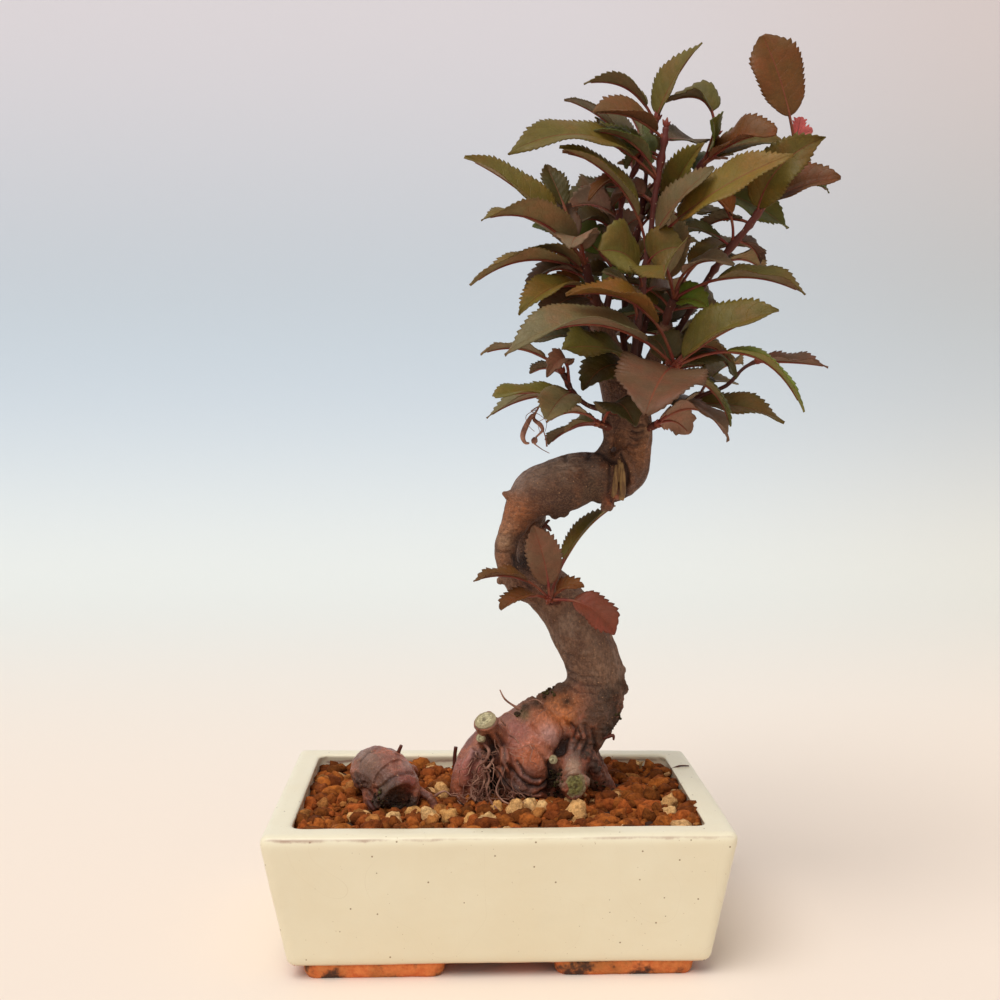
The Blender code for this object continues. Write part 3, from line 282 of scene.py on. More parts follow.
HAIR_PLACES = [(-12, -3, 68, 78, 16), (-9, 0, 60, 70, 16), (-14, -5, 56, 66, 12), (2, 12, 58, 66, 6),
               (-2, 6, 78, 88, 4)]
MOSS_PLACES = [(25.5, 66, 3, 30), (25, 60, 3, 16), (-1, 60, 4, 14), (-4, 54, 4, 12),
               (22, 102.5, 2.5, 26), (10, 93.5, 1.6, 9), (52, 92, 2, 10), (43, 60, 4, 16), (-3, 77, 3, 5)]
STUMP_MOSS = [(-45, 53, 4, 34), (-38, 52, 3, 16), (-50, 58, 3, 10)]
STUMP_DETAILS = [
    [(-58, 66, 6, 2), (-55, 62, 3, 2.4), (-51, 59, 0, 2)],
    [(-36, 66, -12, 1.8), (-34, 60, -14, 2), (-35, 54, -14, 1.6)],
    [(-50, 62.5, -10, 1.4), (-48.5, 58, -13, 1.8), (-50.5, 53, -14, 1.3)],
]
STUMP_COLLAR = [(-46, 67.2, -4, 10), (-43.2, 64.4, -8.6, 10)]
STUMP_TWIGS = [[(-41.8, 75, -2, 1.0), (-41, 77.5, -2.5, 0.8), (-40, 79.8, -3, 0.7)],
               [(-54, 56, -14, 0.9), (-53, 54, -16, 1.2), (-51.5, 52, -17, 0.8)]]
SLIVERS = [[(50.3, 198, -8.2, 0.5), (50.2, 193, -9.0, 1.0), (49.6, 187, -9.0, 1.1), (48.6, 184.6, -8.4, 0.7)],
           [(52.4, 199, -8.0, 0.6), (52.9, 194, -8.8, 1.2), (53, 187, -8.8, 1.3), (52.5, 183.4, -8.2, 1.0)],
           [(51.6, 200.2, -7.6, 0.7), (51.6, 196, -8.2, 1.0), (51.4, 191, -8.0, 0.9)]]

# Stubs and knots that look another way than the source's, and each cut's roll of bark and narrowness
TURNED_STUBS = {"cut_root_left": [(2, 82, 6, 6.5), (-2.6, 85.2, -0.6, 5), (-4.3, 89.6, -3.8, 4.9)],
                "cut_root_right": [(33, 79, 11, 9), (32.2, 71.5, 3, 6.8), (31.8, 64.6, -2.6, 5.8),
                                   (33.5, 62.3, -8.6, 5.7)],
                "elbow_knot": [(6, 165, 4, 5), (2.4, 165.2, 2, 2.6), (0.6, 165.4, 2, 1.5)],
                "shoulder_knot": [(12, 184, 2, 8), (5, 185.4, 0, 2.4), (2.4, 186.8, 0, 1.0)],
                "top_knot": [(33, 196, 2, 7), (33.4, 201, 1, 4.6)]}
CUT_ENDS = {"cut_root_right": (1.3, 0.86), "cut_root_left": (0.75, 1.0), "small_stub_left": (0.45, 1.0),
            "small_stub_front": (0.45, 1.0)}

# Creases in the bark, pressed in and darkened with painted shade: a line on the front elevation, its half
# width and its depth
CREASES = [
    ([(-1.5, 69.5), (2, 65), (6.5, 60), (12.3, 56.4), (18.5, 55.2)], 0.9, 1.9),
    ([(1.8, 70.5), (5.5, 64.5), (10.5, 60), (16.3, 58.2), (21, 59.6)], 0.85, 1.7),
    ([(5, 71.5), (9.2, 65.3), (14, 61.8), (18.8, 61.2), (22, 64.2)], 0.8, 1.4),
    ([(8.8, 72.5), (12.2, 67), (16.2, 64.6), (19.8, 65.2)], 0.7, 1.0),
    ([(13.4, 79.4), (17.4, 77.4), (20.6, 73.6), (21.8, 70.4)], 0.6, 0.55),
    ([(29.7, 81.4), (27.9, 77.1), (24.6, 74.6), (23.6, 71), (24.2, 64.3), (22.6, 58.7)], 1.5, 2.6),
    ([(-3.6, 82.4), (-0.6, 77.6), (-2.4, 71.6), (-1.2, 66.7), (-0.6, 58.6)], 1.5, 2.0),
    ([(-9, 78), (-10.5, 71), (-9.4, 62)], 0.7, 0.6),
    ([(0.5, 84.5), (3.5, 79), (3.8, 72.5)], 0.8, 0.8),
    ([(31.5, 88.5), (33.6, 85.7), (32.9, 82.0)], 0.6, 1.0),
    ([(34.5, 87.3), (36, 82.4), (33.6, 77.7)], 0.6, 1.0),
    ([(37.5, 88), (39, 82.6), (37, 76)], 0.6, 0.9),
    ([(40.6, 86), (42, 80), (40.6, 73)], 0.7, 0.9),
    ([(29.7, 108.9), (35.7, 105.2), (41.6, 104.3), (47.5, 105.2)], 0.5, 0.5),
    ([(28.8, 105.5), (34.5, 102), (41, 101.5)], 0.45, 0.45),
    ([(29.6, 111.5), (36, 108.6), (44, 108.4)], 0.45, 0.4),
    ([(28, 118.7), (33.3, 117.4)], 0.4, 0.4),
    ([(0.6, 169.4), (3.6, 168.6), (6.4, 169.2)], 0.5, 0.5),
    ([(0.2, 161.8), (3.2, 161.2), (5.8, 161.8)], 0.5, 0.5),
    ([(47.4, 184.9), (50.4, 181.7), (54.4, 182.8), (54.9, 195.1), (51.4, 203.1)], 1.0, 1.5),
    ([(41.5, 203.9), (46.2, 201), (50.5, 198.9)], 0.9, 1.4),
    ([(47.8, 199), (47.6, 190), (46.8, 185.6)], 0.8, 0.9),
    ([(7.5, 160), (9.5, 152), (15, 146)], 0.8, 0.9),
    ([(57, 215), (59, 214.2), (61.4, 214.8)], 0.5, 0.9),
    ([(56.6, 212.2), (59, 211.4), (61.2, 212)], 0.5, 0.9),
    ([(56.2, 209.6), (58.6, 208.6), (60.6, 209.4)], 0.5, 0.8),
    ([(55.4, 207), (57.6, 206), (59.4, 206.6)], 0.5, 0.7),
    ([(28.2, 204.5), (29, 200.5)], 1.1, 0.9), ([(39, 205.4), (38.6, 201)], 1.1, 0.9),
]
ROUGH_SPOTS = [(23, 101.5, 4.5), (17.5, 98, 4.5), (28, 103, 4), (12.5, 95.5, 3), (50, 100, 4), (52, 95, 3.5),
               (51, 90, 3.5), (48, 86, 3.5), (54, 105, 3), (43, 70, 5), (39, 76, 4), (30, 98, 3), (-4, 76, 4),
               (0, 62, 4), (12, 56, 4), (26, 64, 4)]

# Patches of the bark's colour, among them painted highlights and painted shade: place on the front elevation,
# reach, colour and strength
BARK_PATCHES = [
    (27, 95, 7, (0.70, 0.210, 0.050), 0.95), (33, 99, 4.5, (0.50, 0.150, 0.040), 0.75),
    (19, 91, 6, (0.62, 0.175, 0.060), 0.85),
    # (22, 84.2): painted highlight on the glossy knob of the root mass
    (15, 76, 6.5, (0.66, 0.175, 0.065), 0.9), (22, 84.2, 4.2, (0.66, 0.330, 0.270), 0.85),
    (9.5, 86, 6, (0.40, 0.115, 0.080), 0.75), (-12, 69, 6, (0.54, 0.170, 0.130), 0.85),
    # (-9, 76): painted highlight on the glossy left root
    (-9, 76, 3, (0.60, 0.300, 0.270), 0.7),
    (29, 80, 4, (0.210, 0.095, 0.075), 0.7), (36, 80, 5, (0.120, 0.058, 0.036), 0.6),
    (7, 79, 4, (0.34, 0.090, 0.050), 0.6),
    (42, 92, 6, (0.115, 0.055, 0.030), 0.85), (44, 82, 5, (0.095, 0.048, 0.028), 0.8),
    (38, 87, 3, (0.200, 0.080, 0.045), 0.6),
    # (28, 180), (42, 184) and, on the next line, (19, 177): painted shade along the underside of the upper
    # limb
    (28, 180, 7, (0.030, 0.012, 0.007), 0.85), (42, 184, 6, (0.034, 0.015, 0.008), 0.8),
    (19, 177, 5.5, (0.050, 0.018, 0.010), 0.75),
    (14, 62, 6, (0.160, 0.052, 0.034), 0.6), (12, 67, 3.5, (0.420, 0.190, 0.150), 0.6),
    (-2, 64, 4, (0.050, 0.026, 0.018), 0.75),
    (25, 66, 3.6, (0.026, 0.022, 0.012), 0.92), (46, 98, 6, (0.075, 0.042, 0.024), 0.7),
    (32.5, 69.5, 3.6, (0.460, 0.270, 0.170), 0.8), (38.8, 64, 3, (0.420, 0.250, 0.160), 0.7),
    (27.8, 62, 2, (0.40, 0.24, 0.15), 0.7),
    (12, 92.5, 2.5, (0.130, 0.130, 0.035), 0.6), (48, 88, 5, (0.070, 0.040, 0.022), 0.7),
    (8, 178, 8, (0.400, 0.120, 0.030), 0.85), (4, 171.5, 4.5, (0.460, 0.190, 0.080), 0.75),
    (3.4, 165.2, 3.4, (0.520, 0.290, 0.150), 0.85), (3, 159, 4, (0.500, 0.190, 0.070), 0.75),
    # (12, 157): painted shade in the hollow on the inner side of the elbow
    (12, 157, 7.5, (0.036, 0.014, 0.008), 0.85), (13, 146, 6, (0.230, 0.070, 0.026), 0.6),
    # (28, 200), (18, 196), (40, 200) and (9, 190.5): painted highlight along the top of the upper limb
    (28, 200, 7, (0.470, 0.320, 0.225), 0.85), (18, 196, 6, (0.400, 0.260, 0.180), 0.8),
    (40, 200, 6, (0.240, 0.155, 0.110), 0.6),
    (9, 190.5, 5, (0.300, 0.200, 0.150), 0.7), (24, 187, 7, (0.110, 0.042, 0.016), 0.55),
    (40, 187, 6, (0.080, 0.044, 0.016), 0.6),
    # (44, 205): painted shade in the hollow at the fork of the limbs
    (49, 183.5, 3, (0.520, 0.120, 0.030), 0.9), (44, 205, 4, (0.040, 0.018, 0.011), 0.85),
    (61, 203, 5.5, (0.320, 0.115, 0.034), 0.75), (63, 214, 5, (0.300, 0.150, 0.070), 0.6),
    (55, 190, 4, (0.180, 0.060, 0.022), 0.7),
    (48, 216, 4.5, (0.090, 0.036, 0.022), 0.8), (21, 152, 5, (0.170, 0.066, 0.028), 0.5),
    (31, 133, 6, (0.360, 0.225, 0.150), 0.7),
    (42, 121, 6, (0.340, 0.200, 0.125), 0.55), (35, 103, 4, (0.300, 0.095, 0.045), 0.55),
    (30, 114, 4, (0.110, 0.048, 0.026), 0.6),
    (26, 141, 4, (0.300, 0.110, 0.055), 0.6), (20, 157, 4, (0.260, 0.160, 0.100), 0.5),
]
STUMP_CREASES = [([(-50.2, 61.2), (-47.5, 62.8), (-45.2, 65.2), (-40.7, 67.6), (-36.3, 68.3), (-34, 67.3)],
                  0.8, 0.7),
                 ([(-57.6, 73), (-54.6, 76.6), (-50.6, 78.2)], 0.5, 0.6)]
STUMP_ROUGH = [(-45, 56, 4), (-38, 54, 4), (-42, 50, 5), (-50, 56, 4), (-57, 64, 3)]
# Patches of the stump's colour, among them painted highlights and painted shade: place on the front
# elevation, reach, colour and strength
STUMP_PATCHES = [(-52, 71, 7, (0.200, 0.098, 0.058), 0.9), (-44, 73, 5, (0.300, 0.092, 0.058), 0.85),
                 # (-37, 71.5): painted highlight on the stump's upper side
                 (-37, 71.5, 3, (0.460, 0.250, 0.200), 0.75), (-37.5, 64, 5, (0.280, 0.062, 0.044), 0.85),
                 # (-43.5, 60) and, on the next line, (-45.5, 55.5): painted shade in the hollow of the broken
                 # end
                 (-47.5, 62, 2, (0.480, 0.320, 0.190), 0.7), (-43.5, 60, 5, (0.030, 0.017, 0.011), 0.95),
                 (-45.5, 55.5, 5.2, (0.010, 0.007, 0.005), 1.0), (-36, 54, 4, (0.040, 0.020, 0.012), 0.8),
                 (-57, 66, 4, (0.110, 0.052, 0.040), 0.8), (-42, 50, 5, (0.022, 0.014, 0.009), 0.9),
                 # (-55, 76): painted highlight on the stump's upper side
                 (-55, 76, 3, (0.34, 0.20, 0.15), 0.6), (-49, 66, 4.5, (0.130, 0.050, 0.032), 0.85)]

# Pumice stones: where each is seen in the front elevation, and its width
STONES = [(8.2, 50.8, 8.5), (14.2, 51.8, 9.5), (20.2, 50.4, 8), (34.2, 48.8, 10.5), (73.7, 53.9, 8),
          (59.4, 70.2, 6),
          (-28.3, 48.8, 8), (-20.1, 48.8, 9), (-23.2, 59, 8), (-43.6, 47.8, 8), (-34.4, 49.8, 8),
          (-10.9, 46.8, 6),
          (-3.8, 47.3, 7), (0.3, 51.9, 6), (-27.2, 69.2, 5), (51.3, 57, 5), (73.7, 49.8, 7), (-66, 66, 6),
          (-60, 49, 6)]

# Wood: the voxels that its limbs are melted together with, and the seed of its hair roots and moss
TRUNK_VOXEL, STUMP_VOXEL = 0.64, 0.5
WOOD_SEED = 3

# Grains: the pitch of their places, the rows' distance as a share of it, and the seed
GRAIN_PITCH, ROW_SHARE, GRAIN_SEED = 4.7, 0.87, 11
# Layers of grains: height, share of the places that are filled, and sizes
GRAIN_LAYERS = ((54.4, 1.0, 5.0, 8.2), (57.2, 0.36, 5.0, 9.0), (57.6, 0.34, 1.6, 3.2))

# The rear shoots aren't drawn: their leaves follow the spiral in which an apple sets its leaves.
SPIRAL_TURN = 137.5
SPIRAL_LEAVES = {"rear_shoot": 9, "rear_left_spur": 5, "rear_right_spur": 5}
SPIRAL_REACH, SPIRAL_SEED = 37.0, 5
SPIRAL_TONES = ("olive", "dark", "green", "rust", "olive")

# Leaf tones: upper side, then underside
TONES = {
    "olive": ((0.166, 0.122, 0.017), (0.260, 0.195, 0.085)),
    "green": ((0.094, 0.112, 0.011), (0.200, 0.190, 0.080)),
    "fresh": ((0.165, 0.215, 0.016), (0.260, 0.270, 0.080)),
    "dark": ((0.074, 0.058, 0.011), (0.150, 0.115, 0.055)),
    "grey": ((0.192, 0.148, 0.058), (0.265, 0.205, 0.120)),
    "rust": ((0.185, 0.067, 0.009), (0.240, 0.120, 0.052)),
    "amber": ((0.185, 0.082, 0.007), (0.280, 0.150, 0.036)),
    "blush": ((0.172, 0.070, 0.011), (0.300, 0.140, 0.050)),
    "mauve": ((0.138, 0.076, 0.036), (0.205, 0.128, 0.080)),
    "pink": ((0.235, 0.142, 0.070), (0.320, 0.210, 0.135)),
    "red": ((0.215, 0.050, 0.022), (0.280, 0.100, 0.055)),
    "bud": ((0.560, 0.110, 0.095), (0.600, 0.180, 0.150)),
}

# Fine leaves
BLADE_THICKNESS = 0.34
BLADE_COLUMNS = (-1.0, -0.84, -0.52, -0.2, 0.0, 0.2, 0.52, 0.84, 1.0)
TOOTH_PITCH = 2.0
TOOTH_REACH = 0.75

# Leaves inside the crown that the source leaves out: how they are drawn, and the least room they keep
INNER_SEED, INNER_TRIES, INNER_ROOM = 21, 360, -0.75
INNER_STEMS = ("leader", "rear_left_shoot", "rear_shoot", "right_shoot", "left_spur", "rear_shoot",
               "centre_spur", "rear_right_spur", "far_right_shoot", "rear_left_spur")
INNER_TONES = ("dark", "green", "mauve", "olive", "grey", "dark", "rust")

# Extra swellings, ridges and nubs of the wood, over the source's limbs
BARK_DETAILS = [
    [(2, 66, -4, 1.6), (7, 61, -6, 2), (13, 58.5, -5, 1.8), (19, 58, -3, 1.4)],
    [(0, 70, -3, 1.6), (4, 64, -6, 2), (9, 58, -5, 1.6)],
    [(3, 79, -3, 2), (4, 72, -6, 2.4), (3, 65, -5, 2)],
    [(17, 91, 5, 6), (21.5, 85, 3.2, 7), (20, 78, 4.4, 6.5)],
    [(-9, 78, -1, 2.2), (-13, 70, -1, 2.4), (-14, 62, -1, 2)],
    [(-4, 76, -2, 2), (-6, 69, -3, 2.4), (-5, 61, -2, 2)],
    [(38, 77, 3, 3), (41, 71, 3, 2.6), (43, 65, 5, 2)],
    [(31, 93, 2, 3), (34, 88, 2, 2.6), (37, 82, 2, 2.4)],
    [(45, 94, 3, 3), (44, 87, 5, 3), (42, 80, 6, 2.4)],
    [(51, 98, 13, 2.6), (52.5, 96, 12, 1.4)],
    [(53, 112, 11, 2), (54.3, 110, 10, 1.2)],
    [(20, 98, 12, 3), (20, 101.5, 11, 1.6)],
    [(45, 182, -2, 4), (49, 180.5, -4, 2.4)],
    [(28, 178.5, 0, 3), (29.5, 176.5, 0, 1.4)],
    [(25, 178, 0, 3), (24, 175.5, 0, 1.2)],
    [(2, 150, 6, 2.4), (1, 148, 5, 1.2)],
    [(52, 204, -5, 3), (55, 198, -6, 3), (57, 190, -5, 2.4)],
    [(40, 200, -1, 2.6), (44.6, 203, -2, 2.8), (47.4, 209, -3, 2.9), (47, 215, -3, 3), (47, 221, -3, 3)],
    [(61, 206, -4, 2.6), (62, 213, -4, 2.8), (61, 221, -4, 2.6)],
]


def seen(x, z, depth):
    """The point that stands at (x, z) in the front elevation, at that depth, in millimetres."""
    on_plane = Vector((x, 0.0, z))
    return EYE + (on_plane - EYE) * (1 + depth / -EYE.y)


def smooth_path(points, between=3):
    """The same limb with points read from a smooth curve through the given ones."""
    made = []
    for k in range(len(points) - 1):
        a, b = Vector(points[max(k - 1, 0)]), Vector(points[k])
        c, d = Vector(points[k + 1]), Vector(points[min(k + 2, len(points) - 1)])
        for n in range(between):
            t = n / between
            made.append(0.5 * (2 * b + (c - a) * t + (2 * a - 5 * b + 4 * c - d) * t ** 2
                               + (3 * b - a - 3 * c + d) * t ** 3))
    return [tuple(p) for p in made] + [points[-1]]


def along(points, share):
    """The place at that share of a stem's length, in millimetres."""
    places = [seen(x, z, depth) for x, z, depth, _ in points]
    lengths = [(b - a).length for a, b in zip(places, places[1:])]
    rest = share * sum(lengths)
    for a, b, length in zip(places, places[1:], lengths):
        if rest <= length:
            return a.lerp(b, rest / length)
        rest -= length
    return places[-1]


def upper_side(chord, face):
    """The way a leaf's upper side looks: at the eye when face is 0, and up when it is 90."""
    toward_eye = Vector((0, -1, 0.3))
    toward_eye = (toward_eye - toward_eye.project(chord)).normalized()
    upward = chord.cross(toward_eye).normalized()
    if upward.z < 0:
        upward.negate()
    turn = math.radians(face)
    return toward_eye * math.cos(turn) + upward * math.sin(turn)


def half_width(v, width, blunt):
    """Half the blade's width at a share v of its length."""
    rise = 0.55
    peak = rise / (rise + blunt)
    most = peak ** rise * (1 - peak) ** blunt
    return width / 2 * v ** rise * (1 - v) ** blunt / most


def blade_rows(length):
    """Rows of teeth on the blade: two rows to a tooth."""
    return 8 if length > 40 else 6 if length > 24 else 4


def leaf_points(leaf, root, tip, extra_turn=0.0):
    """Rows of three points, left edge, midrib and right edge, from the stem to the tip."""
    chord = (tip - root).normalized()
    looks = upper_side(chord, leaf.face + extra_turn)
    rise = Vector((0, 0, 1)) + looks * 0.6
    rise = (rise - rise.project(chord)).normalized()
    over = (root + tip) / 2 + rise * 2 * leaf.arch
    length = (tip - root).length
    rows = blade_rows(length)
    stalk_rows = 2 if leaf.stalk * length > 7 else 1
    steps = [leaf.stalk * k / stalk_rows for k in range(stalk_rows)]
    steps += [leaf.stalk + (1 - leaf.stalk) * k / rows for k in range(rows + 1)]
    fold = math.radians(leaf.fold)
    made = []
    for k, t in enumerate(steps):
        middle = root * (1 - t) ** 2 + over * 2 * t * (1 - t) + tip * t ** 2
        heading = (over - root) * (1 - t) + (tip - over) * t
        side = heading.cross(looks).normalized()
        up = side.cross(heading).normalized()
        n = k - stalk_rows
        forward = Vector()
        if n <= 0:
            wide, bend = STALK_WIDTH / 2, 0.0
        else:
            tooth = n % 2
            v = min(n / rows, 0.985)
            wide = half_width(v, leaf.width, leaf.blunt) * (1.05 if tooth else 0.86)
            wide, bend = max(wide, 0.45), fold
            forward = heading.normalized() * (0.3 * length / rows * tooth)
        reach = side * wide * math.cos(bend) + up * wide * math.sin(bend)
        other = side * -wide * math.cos(bend) + up * wide * math.sin(bend)
        made.append((middle + reach + forward, middle, middle + other + forward))
    return made


def sheet_faces(rows):
    return [(3 * r + c, 3 * r + c + 1, 3 * r + c + 4, 3 * r + c + 3) for r in range(rows - 1) for c in (0, 1)]


def distance_to_limb(point, a, b, radius_a, radius_b):
    """How far a point is from a tapering limb."""
    way = b - a
    t = min(max((point - a).dot(way) / way.length_squared, 0), 1)
    return (point - (a + way * t)).length - (radius_a + (radius_b - radius_a) * t)


def limb_parts(points):
    places = [(seen(x, z, depth), radius) for x, z, depth, radius in points]
    return [(a[0], b[0], a[1], b[1]) for a, b in zip(places, places[1:])]


def nearby(limbs, centre, reach):
    """The limbs that come within reach of a leaf's middle."""
    return [(name, part) for name, parts in limbs.items() for part in parts
            if distance_to_limb(centre, *part) < reach]


def sheet_tree(leaves, first_row):
    """A search tree of the sheets of some leaves, from one row of points on."""
    corners, faces = [], []
    for rows in leaves:
        start = len(corners)
        corners += [p for row in rows[first_row:] for p in row]
        faces += [tuple(start + i for i in f) for f in sheet_faces(len(rows) - first_row)]
    return (BVHTree.FromPolygons(corners, faces), corners) if faces else None


def sheets_apart(rows, first_row, others):
    """The least distance between a leaf and the sheets in a tree, none where they cross."""
    this, corners = sheet_tree([rows], first_row)
    tree, far_corners = others
    if this.overlap(tree):
        return 0.0
    near = min(tree.find_nearest(p)[3] for p in corners)
    for p in far_corners:
        distance = this.find_nearest(p, near)[3]
        near = near if distance is None else min(near, distance)
    return near


def room_around(rows, limbs, own, others, fellows, worth):
    """The least spare room of a leaf: below zero it comes too near another leaf, a stem or the wood.
    The search ends early once the room is less than what is worth having."""
    root, middle = rows[0][1], rows[len(rows) // 2][1]
    close = nearby(limbs, middle, (rows[-1][1] - root).length)
    corners = [p for row in rows for p in row]
    probes = corners + [(corners[f[0]] + corners[f[2]]) / 2 for f in sheet_faces(len(rows))]
    spare = 99.0
    for name, part in close:
        free = 7.0 if name in (own, "wood") else 0.0
        clearance = WOOD_CLEARANCE if name == "wood" else STEM_CLEARANCE
        for p in probes:
            if (p - root).length > free:
                spare = min(spare, distance_to_limb(p, *part) - clearance)
    if spare < worth:
        return spare
    if others:
        spare = min(spare, sheets_apart(rows, 0, others) - LEAF_GAP)
    if fellows:
        spare = min(spare, sheets_apart(rows, 1, fellows) - LEAF_GAP)
    return spare


def spiral_leaves(name, points):
    """Leaves for a stem that isn't drawn, one after another round it."""
    count = SPIRAL_LEAVES[name]
    draw = random.Random(SPIRAL_SEED + len(name))
    made = []
    for k in range(count):
        at = 0.35 + 0.65 * k / max(count - 1, 1)
        root = along(points, at)
        turn = math.radians(SPIRAL_TURN * k + 20)
        reach = SPIRAL_REACH * draw.uniform(0.8, 1.1)
        away = Vector((math.cos(turn), 0.55 + 0.6 * math.sin(turn),
                       draw.uniform(0.0, 0.5) + 0.35 * (at > 0.9)))
        tip = root + away.normalized() * reach
        width = reach * draw.uniform(0.42, 0.5)
        leaf = Leaf(at, 0, 0, 0, width, draw.uniform(60, 95), draw.uniform(3, 7), 0.2,
                    tone=SPIRAL_TONES[k % len(SPIRAL_TONES)])
        made.append((leaf, root, tip))
    return made


def arrange():
    """Settles each leaf as the source does, so that each finer leaf lies in its solid."""
    limbs = {name: limb_parts(points) for name, (points, _) in SHOOTS.items()}
    limbs["wood"] = [part for limb in [TRUNK, *LIMBS.values(), *ROOTS.values()] for part in limb_parts(limb)]
    choices = sorted(((push, turn) for push in PUSHES for turn in TURNS),
                     key=lambda c: abs(c[0]) + abs(c[1]) / 3)
    settled, found = {}, {}
    for name, (points, leaves) in SHOOTS.items():
        others = sheet_tree([rows for made in settled.values() for rows in made], 0)
        waiting = [(leaf, along(points, leaf.at), seen(leaf.x, leaf.z, leaf.depth)) for leaf in leaves]
        settled[name], found[name] = [], []
        for leaf, root, tip in waiting or spiral_leaves(name, points):
            fellows = sheet_tree(settled[name], 1)
            best = (-99.0, None, None)
            for push, turn in choices:
                moved = EYE + (tip - EYE) * (1 + push / -EYE.y)
                rows = leaf_points(leaf, root, moved, turn)
                spare = room_around(rows, limbs, name, others, fellows, best[0])
                if spare > best[0]:
                    best = (spare, rows, (leaf, root, moved, turn))
                if spare >= 0:
                    break
            if best[0] > -0.1 or waiting:
                settled[name].append(best[1])
                found[name].append(best[2])
    return found


def deselect():
    bpy.ops.object.select_all(action="DESELECT")


def only(thing):
    """Makes one object the only one selected, and the active one."""
    deselect()
    thing.select_set(True)
    bpy.context.view_layer.objects.active = thing
    return thing


def open_mesh():
    """Goes into edit mode with the whole mesh selected."""
    bpy.ops.object.mode_set(mode="EDIT")
    bpy.ops.mesh.select_all(action="SELECT")


def close_mesh():
    bpy.ops.object.mode_set(mode="OBJECT")


def joined(things, name):
    """Joins objects into one piece whose place is in its mesh."""
    deselect()
    for thing in things:
        thing.select_set(True)
    bpy.context.view_layer.objects.active = things[0]
    if len(things) > 1:
        bpy.ops.object.join()
    bpy.ops.object.transform_apply(location=True, rotation=True, scale=True)
    things[0].name = name
    return things[0]


def finish_with(thing, kind, **settings):
    """Adds a modifier and applies it."""
    only(thing)
    step = thing.modifiers.new(kind.title(), kind)
    for setting, value in settings.items():
        setattr(step, setting, value)
    bpy.ops.object.modifier_apply(modifier=step.name)
    return thing


def relief(kind, size, **settings):
    """A texture that a Displace modifier reads, of lumps about size millimetres wide."""
    made = bpy.data.textures.new("relief", kind)
    made.noise_scale = size * MM
    for setting, value in settings.items():
        setattr(made, setting, value)
    return made


def roughen(thing, kind, size, height, **settings):
    return finish_with(thing, "DISPLACE", texture=relief(kind, size, **settings), strength=height * MM,
                       mid_level=0.5, texture_coords="LOCAL")


def mesh_arrays(thing):
    """The corner points of a mesh in the tables' millimetres, and its normals."""
    count = len(thing.data.vertices)
    places, normals = np.empty(count * 3), np.empty(count * 3)
    thing.data.vertices.foreach_get("co", places)
    thing.data.vertices.foreach_get("normal", normals)
    return (places.reshape(-1, 3) - np.array(POT_MIDDLE)) / MM, normals.reshape(-1, 3)


def flat_places(places):
    """Where points are seen on the front elevation, as (x, z)."""
    scale = 1 + places[:, 1] / -EYE.y
    return np.stack([EYE.x + (places[:, 0] - EYE.x) / scale, EYE.z + (places[:, 2] - EYE.z) / scale], axis=1)


def line_distance(flat, line):
    """How far points of the elevation are from a line through some of its places."""
    best = np.full(len(flat), 1e9)
    for a, b in zip(line, line[1:]):
        a, b = np.array(a, float), np.array(b, float)
        way = b - a
        share = np.clip(((flat - a) @ way) / (way @ way), 0, 1)
        rest = flat - a - share[:, None] * way
        best = np.minimum(best, np.hypot(rest[:, 0], rest[:, 1]))
    return best


def weather(thing, creases, rough_spots, patches):
    """Presses creases into the bark with painted shade in them, breaks its rough places and paints its
    patches, painted highlights and shade among them, seen from the front.
    """
    places, normals = mesh_arrays(thing)
    flat = flat_places(places)
    ahead = np.clip(0.3 - normals[:, 1] * 3, 0, 1)
    push, dark = np.zeros(len(flat)), np.zeros(len(flat))
    for line, width, depth in creases:
        near = np.exp(-(line_distance(flat, line) / width) ** 2) * ahead
        push -= depth * near
        # dark: painted shade along the creases, kept in the first channel of the attribute
        dark = np.maximum(dark, near * min(1.0, depth))
    rough = np.zeros(len(flat))
    for x, z, reach in rough_spots:
        rough = np.maximum(rough, np.exp(-(np.hypot(flat[:, 0] - x, flat[:, 1] - z) / reach) ** 2))
    for k in np.nonzero(rough > 0.04)[0]:
        point = Vector(places[k])
        push[k] += rough[k] * (1.5 * noise.noise(point * 0.55) + 1.3 * abs(noise.noise(point * 1.1)))
    places += normals * push[:, None]
    tint, share = np.zeros((len(flat), 3)), np.zeros(len(flat))
    # the patches hold the bark's own colours, and also painted highlights and painted shade
    for x, z, reach, tone, strength in patches:
        near = np.exp(-(np.hypot(flat[:, 0] - x, flat[:, 1] - z) / reach) ** 2) * strength * ahead
        tint = tint * (1 - near[:, None]) + np.array(tone) * near[:, None]
        share = share * (1 - near) + near
    tint /= np.maximum(share, 0.001)[:, None]
    thing.data.vertices.foreach_set("co", (places * MM + np.array(POT_MIDDLE)).ravel())
    layer = thing.data.color_attributes.new("patch", "FLOAT_COLOR", "POINT")
    layer.data.foreach_set("color", np.column_stack([tint, share]).ravel())
    shade_and_rough_layer = thing.data.color_attributes.new("crease_shade_and_rough", "FLOAT_COLOR", "POINT")
    shade_and_rough_layer.data.foreach_set("color", np.column_stack([dark, rough, dark * 0, dark * 0 + 1]).ravel())
    return thing


def dress(thing, *finishes):
    thing.data.materials.clear()
    for finish in finishes:
        thing.data.materials.append(finish)
    return thing


def hold(piece, node):
    """Lets a piece stand for a node of the source."""
    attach(piece, "root")
    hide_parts(node)
    return piece


def add_to(piece):
    """Lets a small piece ride along beside the ones that stand for nodes."""
    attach(piece, "root")
    return piece


def placed(point):
    """A point in the tables' millimetres, as a place in the frame."""
    return point * MM + POT_MIDDLE


